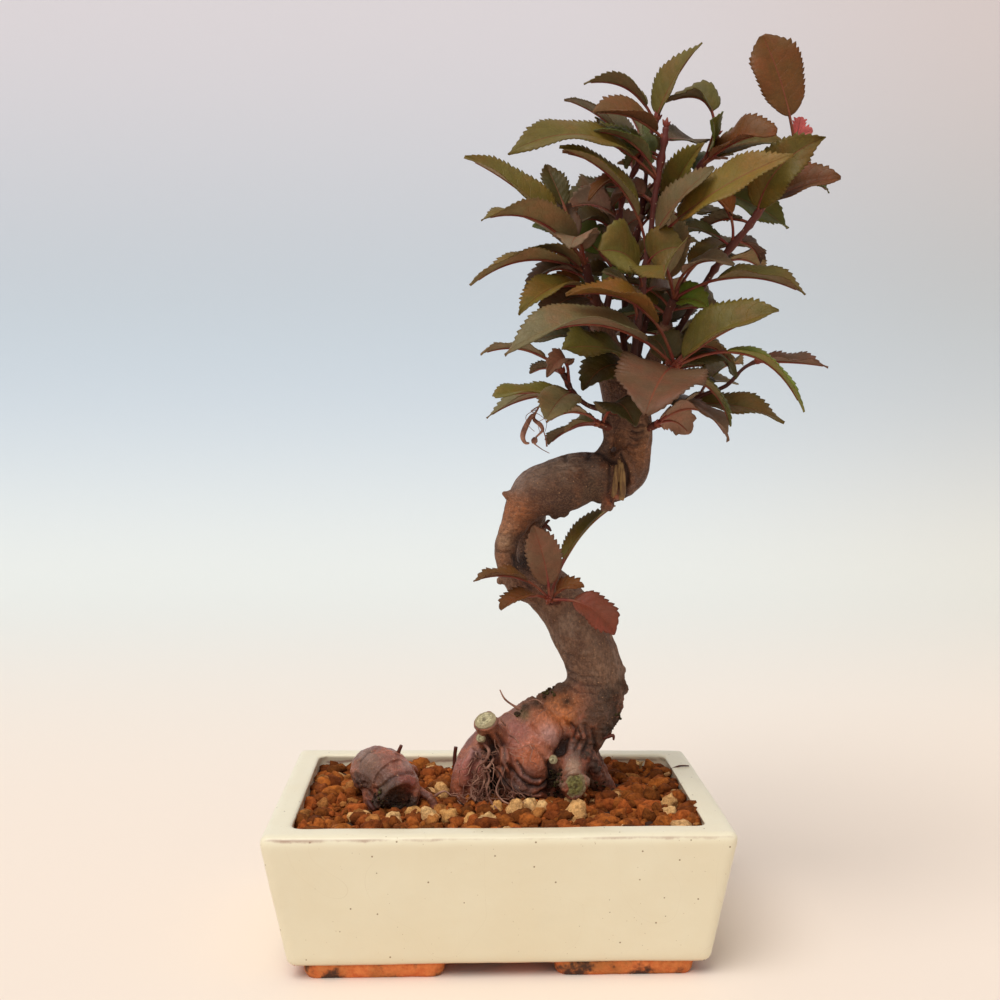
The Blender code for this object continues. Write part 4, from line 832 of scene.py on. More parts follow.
def tubes(paths, name, sides=3):
    """Round tubes through lists of (place in millimetres, radius in millimetres), as one mesh."""
    data = bpy.data.curves.new(name, "CURVE")
    data.dimensions = "3D"
    data.bevel_depth = MM
    data.bevel_resolution = sides
    data.use_fill_caps = True
    for path in paths:
        spline = data.splines.new("POLY")
        spline.points.add(len(path) - 1)
        for at, (point, radius) in zip(spline.points, path):
            at.co = (*placed(point), 1)
            at.radius = radius
    made = bpy.data.objects.new(name, data)
    bpy.context.scene.collection.objects.link(made)
    only(made)
    bpy.ops.object.convert(target="MESH")
    made = bpy.context.object
    open_mesh()
    bpy.ops.mesh.remove_doubles(threshold=0.00001)
    bpy.ops.mesh.normals_make_consistent(inside=False)
    close_mesh()
    bpy.ops.object.shade_smooth()
    return made


def limb_path(points, between=3):
    return [(seen(x, z, depth), radius) for x, z, depth, radius in smooth_path(points, between)]


def paint(thing, name, colour):
    """Gives every corner point of a mesh one colour, kept as an attribute that its material reads."""
    layer = thing.data.color_attributes.new(name, "FLOAT_COLOR", "POINT")
    layer.data.foreach_set("color", [*colour, 1.0] * len(thing.data.vertices))
    return thing


def add(tree, kind, inputs=None, **settings):
    """Adds a shader node. An input that is given a socket is linked to it."""
    made = tree.nodes.new("ShaderNode" + kind)
    for setting, value in settings.items():
        setattr(made, setting, value)
    for key, value in (inputs or {}).items():
        if isinstance(value, bpy.types.NodeSocket):
            tree.links.new(value, made.inputs[key])
        else:
            made.inputs[key].default_value = value
    return made


def math_step(tree, operation, *values):
    return add(tree, "Math", dict(enumerate(values)), operation=operation).outputs[0]


def times(tree, *values):
    return math_step(tree, "MULTIPLY", *values)


def times_plus(tree, *values):
    """The first value times the second, with the third added."""
    return math_step(tree, "MULTIPLY_ADD", *values)


def blended(tree, share, first, second, blend="MIX"):
    """One colour blended into another by a share."""
    inputs = {0: share, 6: first, 7: second}
    return add(tree, "Mix", inputs, data_type="RGBA", blend_type=blend).outputs[2]


def laid(tree, base, mask, strength, tone):
    """A colour laid over the base through a mask, at some strength."""
    return blended(tree, times(tree, mask, strength), base, tone)


def spread(tree, value, low, high, to_low=0.0, to_high=1.0):
    """A value stretched from one range to another, smoothly at both ends."""
    inputs = {"Value": value, "From Min": low, "From Max": high, "To Min": to_low, "To Max": to_high}
    return add(tree, "MapRange", inputs, interpolation_type="SMOOTHSTEP").outputs[0]


def colour(red, green, blue):
    return (red, green, blue, 1.0)


def new_group(name, inputs, outputs):
    """A shader group: inputs as (name, kind, value), outputs as (name, kind)."""
    group = bpy.data.node_groups.new(name, "ShaderNodeTree")
    for label, kind, value in inputs:
        made = group.interface.new_socket(label, in_out="INPUT", socket_type="NodeSocket" + kind)
        if value is not None:
            made.default_value = value
    for label, kind in outputs:
        group.interface.new_socket(label, in_out="OUTPUT", socket_type="NodeSocket" + kind)
    entry = group.nodes.new("NodeGroupInput").outputs
    leave = group.nodes.new("NodeGroupOutput").inputs
    return group, entry, leave


def use(tree, group, **inputs):
    """Places a group in a material. Names are written with underscores for spaces."""
    made = tree.nodes.new("ShaderNodeGroup")
    made.node_tree = group
    for key, value in inputs.items():
        key = key.replace("_", " ")
        if isinstance(value, bpy.types.NodeSocket):
            tree.links.new(value, made.inputs[key])
        else:
            made.inputs[key].default_value = value
    return made.outputs


def patchy(tree, groups, place, size, share, softness):
    """Blots of a size in metres that cover a share of the surface."""
    return use(tree, groups["patches"], Place=place, Size=size, Share=share, Softness=softness)["Mask"]


def dotted(tree, groups, place, spacing, radius, share):
    """Round dots on a share of the places of a loose pattern."""
    return use(tree, groups["dots"], Place=place, Spacing=spacing, Radius=radius, Share=share)["Mask"]


def grained(tree, groups, place, size):
    """The height of a fine rough surface."""
    return use(tree, groups["relief"], Place=place, Size=size)["Height"]


def patches_group():
    """Soft irregular patches: 1 in a patch, 0 between."""
    group, entry, leave = new_group(
        "patches", [("Place", "Vector", None), ("Size", "Float", 0.01), ("Share", "Float", 0.5),
                    ("Softness", "Float", 0.1), ("Detail", "Float", 4.0)], [("Mask", "Float")])
    scale = math_step(group, "DIVIDE", 1.0, entry["Size"])
    cloud = add(group, "TexNoise", {"Vector": entry["Place"], "Scale": scale, "Detail": entry["Detail"],
                                    "Roughness": 0.6}).outputs["Fac"]
    middle = math_step(group, "SUBTRACT", 1.0, entry["Share"])
    middle = times_plus(group, middle, 0.5, 0.25)
    low = math_step(group, "SUBTRACT", middle, entry["Softness"])
    high = math_step(group, "ADD", middle, entry["Softness"])
    group.links.new(spread(group, cloud, low, high), leave["Mask"])
    return group


def dots_group():
    """Small round dots scattered evenly, in a share of the cells."""
    group, entry, leave = new_group(
        "dots", [("Place", "Vector", None), ("Spacing", "Float", 0.003), ("Radius", "Float", 0.15),
                 ("Share", "Float", 0.5)], [("Mask", "Float")])
    scale = math_step(group, "DIVIDE", 1.0, entry["Spacing"])
    cells = add(group, "TexVoronoi", {"Vector": entry["Place"], "Scale": scale})
    near = spread(group, cells.outputs["Distance"], times(group, entry["Radius"], 0.6),
                  entry["Radius"], 1.0, 0.0)
    pick = add(group, "SeparateColor", {0: cells.outputs["Color"]}).outputs[0]
    chosen = math_step(group, "LESS_THAN", pick, entry["Share"])
    group.links.new(times(group, near, chosen), leave["Mask"])
    return group


def threads_group():
    """Thin wandering lines, such as cracks and flaking edges: 1 on a line, 0 beside it."""
    group, entry, leave = new_group(
        "threads", [("Place", "Vector", None), ("Size", "Float", 0.005), ("Width", "Float", 0.02),
                    ("Detail", "Float", 3.0)], [("Mask", "Float")])
    scale = math_step(group, "DIVIDE", 1.0, entry["Size"])
    cloud = add(group, "TexNoise", {"Vector": entry["Place"], "Scale": scale, "Detail": entry["Detail"],
                                    "Roughness": 0.55, "Distortion": 0.3}).outputs["Fac"]
    away = math_step(group, "ABSOLUTE", math_step(group, "SUBTRACT", cloud, 0.5))
    group.links.new(spread(group, away, 0.0, entry["Width"], 1.0, 0.0), leave["Mask"])
    return group


def grain_group():
    """Fine broken relief for bumps: coarse lumps with finer ones on them."""
    group, entry, leave = new_group(
        "fine_relief", [("Place", "Vector", None), ("Size", "Float", 0.002)], [("Height", "Float")])
    scale = math_step(group, "DIVIDE", 1.0, entry["Size"])
    coarse = add(group, "TexNoise",
                 {"Vector": entry["Place"], "Scale": scale, "Detail": 8.0, "Roughness": 0.68})
    group.links.new(coarse.outputs["Fac"], leave["Height"])
    return group


def veins_group():
    """The veins of a blade, from its own map: across from edge to edge, and up from base to tip."""
    group, entry, leave = new_group("blade_veins", [("Blade", "Vector", None), ("Number", "Float", 9.0)],
                                    [("Vein", "Float"), ("Midrib", "Float"), ("Net", "Float"),
                                     ("Pillow", "Float"), ("Margin", "Float"), ("Tip", "Float")])
    parts = add(group, "SeparateXYZ", {0: entry["Blade"]}).outputs
    wander = add(group, "TexNoise", {"Vector": entry["Blade"], "Scale": 5.0, "Detail": 2.0}).outputs["Fac"]
    across = math_step(group, "SUBTRACT", parts[0], 0.5)
    half = math_step(group, "GREATER_THAN", across, 0.0)
    out = times(group, math_step(group, "ABSOLUTE", across), 2.0)
    lean = times(group, math_step(group, "POWER", out, 1.25), -1.7)
    lean = times_plus(group, wander, 0.7, lean)
    phase = math_step(group, "ADD", times_plus(group, parts[1], entry["Number"], lean),
                      times(group, half, 0.45))
    away = math_step(group, "PINGPONG", phase, 0.5)
    width = times_plus(group, out, -0.022, 0.042)
    side_vein = spread(group, away, 0.0, width, 1.0, 0.0)
    stretched = add(group, "VectorMath", {0: entry["Blade"], 1: (1.0, 2.4, 1.0)},
                    operation="MULTIPLY").outputs[0]
    net = add(group, "TexVoronoi", {"Vector": stretched, "Scale": 17.0}, feature="DISTANCE_TO_EDGE")
    group.links.new(side_vein, leave["Vein"])
    group.links.new(spread(group, out, 0.0, 0.06, 1.0, 0.0), leave["Midrib"])
    group.links.new(spread(group, net.outputs["Distance"], 0.0, 0.09, 1.0, 0.0), leave["Net"])
    group.links.new(spread(group, away, 0.0, 0.5), leave["Pillow"])
    group.links.new(spread(group, out, 0.8, 1.0), leave["Margin"])
    group.links.new(parts[1], leave["Tip"])
    return group


def new_finish(name):
    """A material with its shader and the place that its patterns are read at."""
    made = bpy.data.materials.new(name)
    made.use_nodes = True
    tree = made.node_tree
    return made, tree, tree.nodes["Principled BSDF"], add(tree, "TexCoord").outputs["Object"]


def set_shader(tree, shader, **inputs):
    for key, value in inputs.items():
        key = key.replace("_", " ")
        if isinstance(value, bpy.types.NodeSocket):
            tree.links.new(value, shader.inputs[key])
        else:
            shader.inputs[key].default_value = value


def bumped(tree, height, depth, strength=1.0, under=None):
    inputs = {"Height": height, "Distance": depth * MM, "Strength": strength}
    if under:
        inputs["Normal"] = under
    return add(tree, "Bump", inputs).outputs[0]


def veins_placed(tree):
    """The blade's own map, for what follows its veins."""
    return add(tree, "UVMap", uv_map="blade").outputs[0]


def leaf_finish(groups, name, side, vein_tint, gloss, strengths):
    """One side of the leaves: its own tone, its midrib, faint veins, blotches, dust and a quilted surface."""
    vein_share, net_share, relief_depth, rib_tone = strengths
    made, tree, shader, place = new_finish(name)
    veins = use(tree, groups["veins"], Blade=veins_placed(tree), Number=7.0)
    tone = add(tree, "Attribute", attribute_name=side).outputs["Color"]
    broad = patchy(tree, groups, place, 0.011, 0.45, 0.16)
    mottle = patchy(tree, groups, place, 0.004, 0.5, 0.2)
    fine = patchy(tree, groups, place, 0.0008, 0.5, 0.2)
    dust = dotted(tree, groups, place, 0.0013, 0.2, 0.4)
    deeper = blended(tree, 1.0, tone, colour(0.56, 0.55, 0.50), "MULTIPLY")
    warmer = blended(tree, 1.0, tone, colour(1.5, 0.74, 0.72), "MULTIPLY")
    base = blended(tree, times(tree, broad, 0.55), tone, warmer)
    base = laid(tree, base, mottle, 0.36, deeper)
    base = laid(tree, base, fine, 0.34, deeper)
    base = laid(tree, base, veins["Margin"], 0.3, deeper)
    pale = blended(tree, 1.0, base, colour(*vein_tint), "MULTIPLY")
    base = laid(tree, base, veins["Net"], net_share, pale)
    base = laid(tree, base, dust, 0.3, pale)
    base = laid(tree, base, veins["Vein"], vein_share, pale)
    base = laid(tree, base, veins["Midrib"], 0.8, colour(*rib_tone))
    sign = -0.6 if side == "upper" else 0.8
    height = times_plus(tree, veins["Pillow"], 0.45, times(tree, mottle, 0.25))
    height = times_plus(tree, veins["Vein"], sign, height)
    height = times_plus(tree, veins["Midrib"], sign * 1.5, height)
    height = times_plus(tree, veins["Net"], sign * 0.35, height)
    height = times_plus(tree, fine, 0.2, height)
    set_shader(tree, shader, Base_Color=base, Roughness=times_plus(tree, mottle, 0.12, gloss),
               Normal=bumped(tree, height, relief_depth, 0.8),
               Specular_IOR_Level=0.3)
    return made


def stalk_finish(groups):
    made, tree, shader, place = new_finish("red_stalks")
    mottle = patchy(tree, groups, place, 0.006, 0.5, 0.2)
    base = blended(tree, mottle, colour(0.19, 0.024, 0.018), colour(0.24, 0.075, 0.032))
    height = grained(tree, groups, place, 0.0008)
    set_shader(tree, shader, Base_Color=base, Roughness=0.45, Normal=bumped(tree, height, 0.1, 0.6),
               Specular_IOR_Level=0.3)
    return made


def twig_finish(groups):
    """Young bark: dark red-brown, redder towards the tips, with pale pores."""
    made, tree, shader, place = new_finish("twig_bark")
    mottle = patchy(tree, groups, place, 0.01, 0.5, 0.2)
    streaks = patchy(tree, groups, place, 0.002, 0.5, 0.2)
    pores = dotted(tree, groups, place, 0.0022, 0.17, 0.5)
    young = spread(tree, add(tree, "SeparateXYZ", {0: place}).outputs[2], 0.25, 0.33)
    base = blended(tree, mottle, colour(0.055, 0.012, 0.008), colour(0.115, 0.026, 0.014))
    base = laid(tree, base, young, 0.7, colour(0.150, 0.020, 0.015))
    base = laid(tree, base, streaks, 0.3, colour(0.10, 0.042, 0.025))
    base = laid(tree, base, pores, 0.75, colour(0.48, 0.33, 0.22))
    height = grained(tree, groups, place, 0.0014)
    height = times_plus(tree, pores, 0.5, height)
    set_shader(tree, shader, Base_Color=base, Roughness=0.52, Normal=bumped(tree, height, 0.25, 0.8),
               Specular_IOR_Level=0.3)
    return made


def bark_finish(groups):
    """Old bark: brown above, reddish and shiny on the root mass, with pores, flakes, moss and scars; shade
    painted into its creases, and painted highlights and shade in its patches.
    """
    made, tree, shader, place = new_finish("old_bark")
    stretched = add(tree, "VectorMath", {0: place, 1: (1.0, 1.0, 0.28)}, operation="MULTIPLY").outputs[0]
    level = add(tree, "VectorMath", {0: place, 1: (0.3, 1.0, 1.0)}, operation="MULTIPLY").outputs[0]
    broad = patchy(tree, groups, place, 0.02, 0.5, 0.14)
    middle = patchy(tree, groups, place, 0.006, 0.45, 0.1)
    small = patchy(tree, groups, place, 0.0019, 0.5, 0.1)
    dust = patchy(tree, groups, place, 0.0007, 0.42, 0.08)
    grains = patchy(tree, groups, stretched, 0.0011, 0.5, 0.13)
    level_grains = patchy(tree, groups, level, 0.0013, 0.5, 0.14)
    pores = dotted(tree, groups, place, 0.0020, 0.17, 0.5)
    height_above = add(tree, "SeparateXYZ", {0: place}).outputs[2]
    upper = spread(tree, height_above, 0.135, 0.180)
    low = spread(tree, height_above, 0.084, 0.106, 1.0, 0.0)
    calm = times_plus(tree, low, -0.4, 1.0)
    streaks = add(tree, "Mix", {0: upper, 2: grains, 3: level_grains}).outputs[0]
    trunk = blended(tree, broad, colour(0.150, 0.060, 0.027), colour(0.300, 0.155, 0.085))
    limb = blended(tree, broad, colour(0.082, 0.025, 0.008), colour(0.225, 0.080, 0.027))
    base = blended(tree, upper, trunk, limb)
    grey = blended(tree, upper, colour(0.330, 0.205, 0.130), colour(0.200, 0.085, 0.033))
    base = laid(tree, base, middle, 0.35, grey)
    red = blended(tree, middle, colour(0.450, 0.125, 0.062), colour(0.172, 0.040, 0.023))
    base = blended(tree, times(tree, low, spread(tree, broad, 0.0, 1.0, 0.97, 0.75)), base, red)
    patch = add(tree, "Attribute", attribute_name="patch")
    crease_shade_and_rough = add(tree, "SeparateColor",
                {0: add(tree, "Attribute", attribute_name="crease_shade_and_rough").outputs["Color"]}).outputs
    # the patches' colours, painted highlights and painted shade among them, laid over the bark
    reach = math_step(tree, "ADD", patch.outputs["Alpha"], times_plus(tree, middle, 0.3, -0.15))
    reach = times_plus(tree, small, 0.16, reach)
    base = blended(tree, spread(tree, reach, 0.14, 0.75, 0.0, 0.92), base, patch.outputs["Color"])
    base = blended(tree, times(tree, streaks, times(tree, calm, 0.38)), base,
                   colour(0.060, 0.024, 0.012))
    base = blended(tree, times(tree, small, times(tree, calm, 0.42)), base,
                   colour(0.046, 0.019, 0.011))
    base = blended(tree, times(tree, dust, times(tree, calm, 0.3)), base,
                   colour(0.360, 0.180, 0.095))
    rough_dark = times(tree, crease_shade_and_rough[1], spread(tree, middle, 0.0, 1.0, 0.4, 0.9))
    base = blended(tree, rough_dark, base, colour(0.050, 0.027, 0.015))
    # painted shade in the creases
    base = blended(tree, times(tree, crease_shade_and_rough[0], 0.85), base, colour(0.024, 0.010, 0.007))
    base = laid(tree, base, pores, 0.7, colour(0.560, 0.290, 0.140))
    fine = grained(tree, groups, place, 0.0014)
    height = times_plus(tree, streaks, -0.35, fine)
    height = times_plus(tree, pores, 0.25, height)
    height = times_plus(tree, small, -0.35, height)
    height = times(tree, height, times_plus(tree, crease_shade_and_rough[1], 0.5, calm))
    rough = times_plus(tree, low, -0.33, 0.6)
    rough = times_plus(tree, crease_shade_and_rough[1], 0.4, rough)
    rough = times_plus(tree, small, 0.12, rough)
    set_shader(tree, shader, Base_Color=base, Roughness=rough, Normal=bumped(tree, height, 0.6, 1.0))
    return made


def cut_finish(groups, name, pale, deep, rim_tone):
    """Sawn wood that has weathered: mottled, with faint rings, a few checks and a darker heart."""
    made, tree, shader, place = new_finish(name)
    face = add(tree, "UVMap", uv_map="face").outputs[0]
    middle = add(tree, "VectorMath", {0: face, 1: (0.46, 0.53, 0.0)}, operation="SUBTRACT").outputs[0]
    wander = patchy(tree, groups, place, 0.0028, 0.5, 0.3)
    spots = patchy(tree, groups, place, 0.0011, 0.42, 0.12)
    out = add(tree, "VectorMath", {0: middle}, operation="LENGTH").outputs[1]
    wave = math_step(tree, "SINE", times(tree, times_plus(tree, wander, 0.12, out), 46.0))
    rings = spread(tree, wave, -0.8, 0.9)
    base = blended(tree, times(tree, rings, 0.35), colour(*pale), colour(*deep))
    base = laid(tree, base, wander, 0.7, colour(*deep))
    base = laid(tree, base, spots, 0.6, colour(0.075, 0.055, 0.025))
    heart = spread(tree, out, 0.03, 0.16, 1.0, 0.0)
    base = laid(tree, base, heart, 0.6, colour(0.07, 0.045, 0.02))
    rim = spread(tree, times_plus(tree, wander, 0.1, out), 0.36, 0.5)
    base = laid(tree, base, rim, 0.8, colour(*rim_tone))
    height = times_plus(tree, rings, 0.25, grained(tree, groups, place, 0.0014))
    height = times_plus(tree, spots, -0.5, height)
    set_shader(tree, shader, Base_Color=base, Roughness=0.8, Normal=bumped(tree, height, 0.5, 0.9))
    return made


def split_finish(groups):
    """Torn dry wood, pale along its fibres."""
    made, tree, shader, place = new_finish("split_wood")
    stretched = add(tree, "VectorMath", {0: place, 1: (1.0, 1.0, 0.12)}, operation="MULTIPLY").outputs[0]
    fibres = patchy(tree, groups, stretched, 0.0009, 0.5, 0.15)
    spots = patchy(tree, groups, place, 0.003, 0.4, 0.15)
    base = blended(tree, fibres, colour(0.36, 0.205, 0.070), colour(0.16, 0.075, 0.024))
    base = laid(tree, base, spots, 0.5, colour(0.10, 0.05, 0.02))
    set_shader(tree, shader, Base_Color=base, Roughness=0.75, Normal=bumped(tree, fibres, 0.3, 0.8))
    return made


def hair_finish(groups):
    """Fine roots and withered threads, from pale pink-brown to dark."""
    made, tree, shader, place = new_finish("fine_root_bark")
    mottle = patchy(tree, groups, place, 0.005, 0.5, 0.15)
    base = blended(tree, mottle, colour(0.400, 0.205, 0.135), colour(0.150, 0.055, 0.035))
    set_shader(tree, shader, Base_Color=base, Roughness=0.65,
               Specular_IOR_Level=0.3)
    return made


def moss_finish(groups):
    made, tree, shader, place = new_finish("dark_moss")
    mottle = patchy(tree, groups, place, 0.003, 0.36, 0.12)
    base = blended(tree, mottle, colour(0.050, 0.026, 0.015), colour(0.095, 0.085, 0.024))
    height = grained(tree, groups, place, 0.0009)
    set_shader(tree, shader, Base_Color=base, Roughness=0.95, Normal=bumped(tree, height, 0.5, 1.0),
               Specular_IOR_Level=0.2)
    return made


def grain_finish(groups, name):
    """Baked clay grains and pumice: each grain's own tone, pitted and dusty."""
    made, tree, shader, place = new_finish(name)
    tone = add(tree, "Attribute", attribute_name="tone").outputs["Color"]
    mottle = patchy(tree, groups, place, 0.0024, 0.5, 0.2)
    dust = patchy(tree, groups, place, 0.0007, 0.4, 0.15)
    base = blended(tree, 1.0, tone,
                   blended(tree, mottle, colour(0.52, 0.45, 0.40), colour(1.28, 1.24, 1.18)), "MULTIPLY")
    light = blended(tree, 1.0, tone, colour(1.6, 1.75, 2.1), "MULTIPLY")
    base = laid(tree, base, dust, 0.35, light)
    height = grained(tree, groups, place, 0.0022)
    set_shader(tree, shader, Base_Color=base, Roughness=0.95, Normal=bumped(tree, height, 1.5, 1.0),
               Specular_IOR_Level=0.15)
    return made


def bed_earth_and_shade_finish(groups):
    """The earth between the grains, dark brown with painted shade for the gaps among them."""
    made, tree, shader, place = new_finish("soil_bed_with_painted_shade")
    mottle = patchy(tree, groups, place, 0.006, 0.5, 0.2)
    # near-black brown: the earth's colour darkened with painted shade for the gaps between the grains
    base = blended(tree, mottle, colour(0.022, 0.009, 0.004), colour(0.065, 0.022, 0.008))
    height = grained(tree, groups, place, 0.002)
    set_shader(tree, shader, Base_Color=base, Roughness=0.95, Normal=bumped(tree, height, 0.8, 1.0))
    return made


def edge_wear(tree, groups, place, y, half_width, z):
    """1 along one long edge of the rim that runs from left to right, broken into worn lengths."""
    parts = add(tree, "SeparateXYZ", {0: place}).outputs
    wander = grained(tree, groups, place, 0.012)
    wander = times_plus(tree, wander, 2.0, -1.0)
    at = add(tree, "CombineXYZ", {0: 0.0, 1: parts[1], 2: times_plus(tree, wander, 0.0016, parts[2])})
    far = add(tree, "VectorMath", {0: at.outputs[0], 1: (0.0, y * MM, z * MM)},
              operation="DISTANCE").outputs[1]
    near = spread(tree, far, half_width * 0.25 * MM, half_width * MM, 1.0, 0.0)
    broken = patchy(tree, groups, place, 0.009, 0.8, 0.14)
    return times(tree, near, spread(tree, broken, 0.0, 1.0, 0.45, 1.0))


def glaze_finish(groups):
    """Cream glaze: glossy, a little uneven, with pinholes, specks, fine crazing and a worn brown rim."""
    made, tree, shader, place = new_finish("cream_glaze")
    broad = patchy(tree, groups, place, 0.05, 0.5, 0.25)
    soft = patchy(tree, groups, place, 0.012, 0.5, 0.2)
    base = blended(tree, broad, colour(0.815, 0.725, 0.520), colour(0.845, 0.770, 0.570))
    base = laid(tree, base, soft, 0.2, colour(0.800, 0.690, 0.470))
    craze = use(tree, groups["threads"], Place=place, Size=0.03, Width=0.0016, Detail=0.0)["Mask"]
    base = laid(tree, base, craze, 0.16, colour(0.50, 0.36, 0.20))
    holes = dotted(tree, groups, place, 0.0046, 0.095, 0.7)
    specks = dotted(tree, groups, place, 0.0026, 0.085, 0.6)
    base = laid(tree, base, holes, 0.8, colour(0.22, 0.125, 0.050))
    base = laid(tree, base, specks, 0.55, colour(0.40, 0.26, 0.13))
    front = edge_wear(tree, groups, place, POT_MIDDLE.y / MM - POT_DEPTH / 2 + 0.4, 1.3, POT_HEIGHT - 0.9)
    inner = edge_wear(tree, groups, place, POT_MIDDLE.y / MM + POT_DEPTH / 2 - RIM_WIDTH, 1.2,
                      POT_HEIGHT - 2.0)
    rim = add(tree, "Attribute", attribute_name="rim_edge").outputs["Fac"]
    broken = patchy(tree, groups, place, 0.005, 0.42, 0.1)
    worn = math_step(tree, "MAXIMUM", front, times(tree, rim, times(tree, broken, 0.7)))
    worn = math_step(tree, "MAXIMUM", worn, inner)
    base = laid(tree, base, worn, 0.88, colour(0.330, 0.165, 0.120))
    foot = spread(tree, add(tree, "SeparateXYZ", {0: place}).outputs[2], 0.0072, 0.0092, 1.0, 0.0)
    base = laid(tree, base, foot, 0.55, colour(0.42, 0.22, 0.10))
    wave = patchy(tree, groups, place, 0.02, 0.5, 0.4)
    height = times_plus(tree, math_step(tree, "ADD", holes, specks), -0.6, wave)
    set_shader(tree, shader, Base_Color=base, Roughness=times_plus(tree, worn, 0.3, 0.28),
               Normal=bumped(tree, height, 0.3, 0.5),
               Specular_IOR_Level=0.4)
    return made


def clay_finish(groups):
    """Bare terracotta under the pot, stained dark in patches."""
    made, tree, shader, place = new_finish("bare_clay")
    stain = patchy(tree, groups, place, 0.012, 0.42, 0.06)
    small = patchy(tree, groups, place, 0.002, 0.5, 0.2)
    olive = patchy(tree, groups, place, 0.017, 0.42, 0.15)
    base = blended(tree, small, colour(0.62, 0.135, 0.028), colour(0.78, 0.230, 0.060))
    base = laid(tree, base, olive, 0.55, colour(0.28, 0.130, 0.026))
    base = laid(tree, base, stain, 0.92, colour(0.025, 0.012, 0.007))
    height = grained(tree, groups, place, 0.0015)
    set_shader(tree, shader, Base_Color=base, Roughness=0.85, Normal=bumped(tree, height, 0.4, 0.9))
    return made


def plastic_finish(groups):
    made, tree, shader, place = new_finish("screen_mesh_plastic")
    dust = patchy(tree, groups, place, 0.003, 0.4, 0.2)
    base = blended(tree, times(tree, dust, 0.6), colour(0.018, 0.018, 0.017), colour(0.12, 0.06, 0.03))
    height = grained(tree, groups, place, 0.001)
    set_shader(tree, shader, Base_Color=base, Roughness=0.5, Normal=bumped(tree, height, 0.1, 0.5))
    return made


def stage_finish():
    """A pale sweep: warm at the front, cool behind the tree, rosy at the top, with painted shade on the
    right.
    """
    made, tree, shader, place = new_finish("pale_paper")
    parts = add(tree, "SeparateXYZ", {0: place}).outputs
    back = times_plus(tree, parts[2], 1.5, parts[1])
    base = blended(tree, spread(tree, back, 0.0, 1.0), colour(0.866, 0.745, 0.635),
                   colour(0.720, 0.740, 0.705))
    base = blended(tree, spread(tree, back, 0.9, 1.75), base, colour(0.560, 0.625, 0.685))
    base = blended(tree, spread(tree, back, 1.75, 2.7), base, colour(0.775, 0.735, 0.770))
    # painted shade on the right of the sweep
    painted_shade_right = blended(tree, 1.0, base, colour(0.955, 0.89, 0.83), "MULTIPLY")
    base = blended(tree, spread(tree, parts[0], 0.05, 0.9), base, painted_shade_right)
    set_shader(tree, shader, Base_Color=base, Roughness=0.9,
               Specular_IOR_Level=0.1)
    return made


def blade_width(share, leaf):
    """Half the blade's width at a share of its length, drawn in to a fine point."""
    point = max(0.0, (share - 0.74) / 0.26)
    return max(half_width(min(share, 0.992), leaf.width, leaf.blunt) * (1 - 0.42 * point ** 1.4), 0.16)


def make_finishes():
    groups = {"patches": patches_group(), "dots": dots_group(), 
              "threads": threads_group(), "relief": grain_group(), "veins": veins_group()}
    return {
        "upper": leaf_finish(groups, "leaf_upper", "upper", (1.55, 1.45, 1.6), 0.44,
                             (0.42, 0.2, 0.2, (0.24, 0.060, 0.026))),
        "under": leaf_finish(groups, "leaf_under", "under", (1.3, 1.08, 1.0), 0.72,
                             (0.5, 0.3, 0.3, (0.36, 0.19, 0.11))),
        "stalk": stalk_finish(groups),
        "twig": twig_finish(groups),
        "bark": bark_finish(groups),
        "pale_cut": cut_finish(groups, "pale_cut_wood", (0.70, 0.60, 0.36), (0.36, 0.30, 0.14),
                               (0.34, 0.26, 0.14)),
        "mossy_cut": cut_finish(groups, "mossy_cut_wood", (0.320, 0.285, 0.085), (0.210, 0.185, 0.050),
                                (0.34, 0.25, 0.13)),
        "split": split_finish(groups),
        "hair": hair_finish(groups),
        "moss": moss_finish(groups),
        "grain": grain_finish(groups, "clay_grains"),
        "bed": bed_earth_and_shade_finish(groups),
        "glaze": glaze_finish(groups),
        "clay": clay_finish(groups),
        "plastic": plastic_finish(groups),
        "stage": stage_finish(),
    }


def blade_frame(leaf, root, tip, extra_turn):
    """What a blade is drawn from: its curve's three points, and the way that its upper side looks."""
    chord = (tip - root).normalized()
    looks = upper_side(chord, leaf.face + extra_turn)
    rise = Vector((0, 0, 1)) + looks * 0.6
    rise = (rise - rise.project(chord)).normalized()
    return root, (root + tip) / 2 + rise * 2 * leaf.arch, tip, looks


def on_curve(frame_of, t):
    """The midrib's place at a share t of its length, with the ways across and up from the blade there."""
    root, over, tip, looks = frame_of
    place = root * (1 - t) ** 2 + over * 2 * t * (1 - t) + tip * t ** 2
    heading = (over - root) * (1 - t) + (tip - over) * t
    side = heading.cross(looks).normalized()
    return place, side, side.cross(heading).normalized(), heading.normalized()


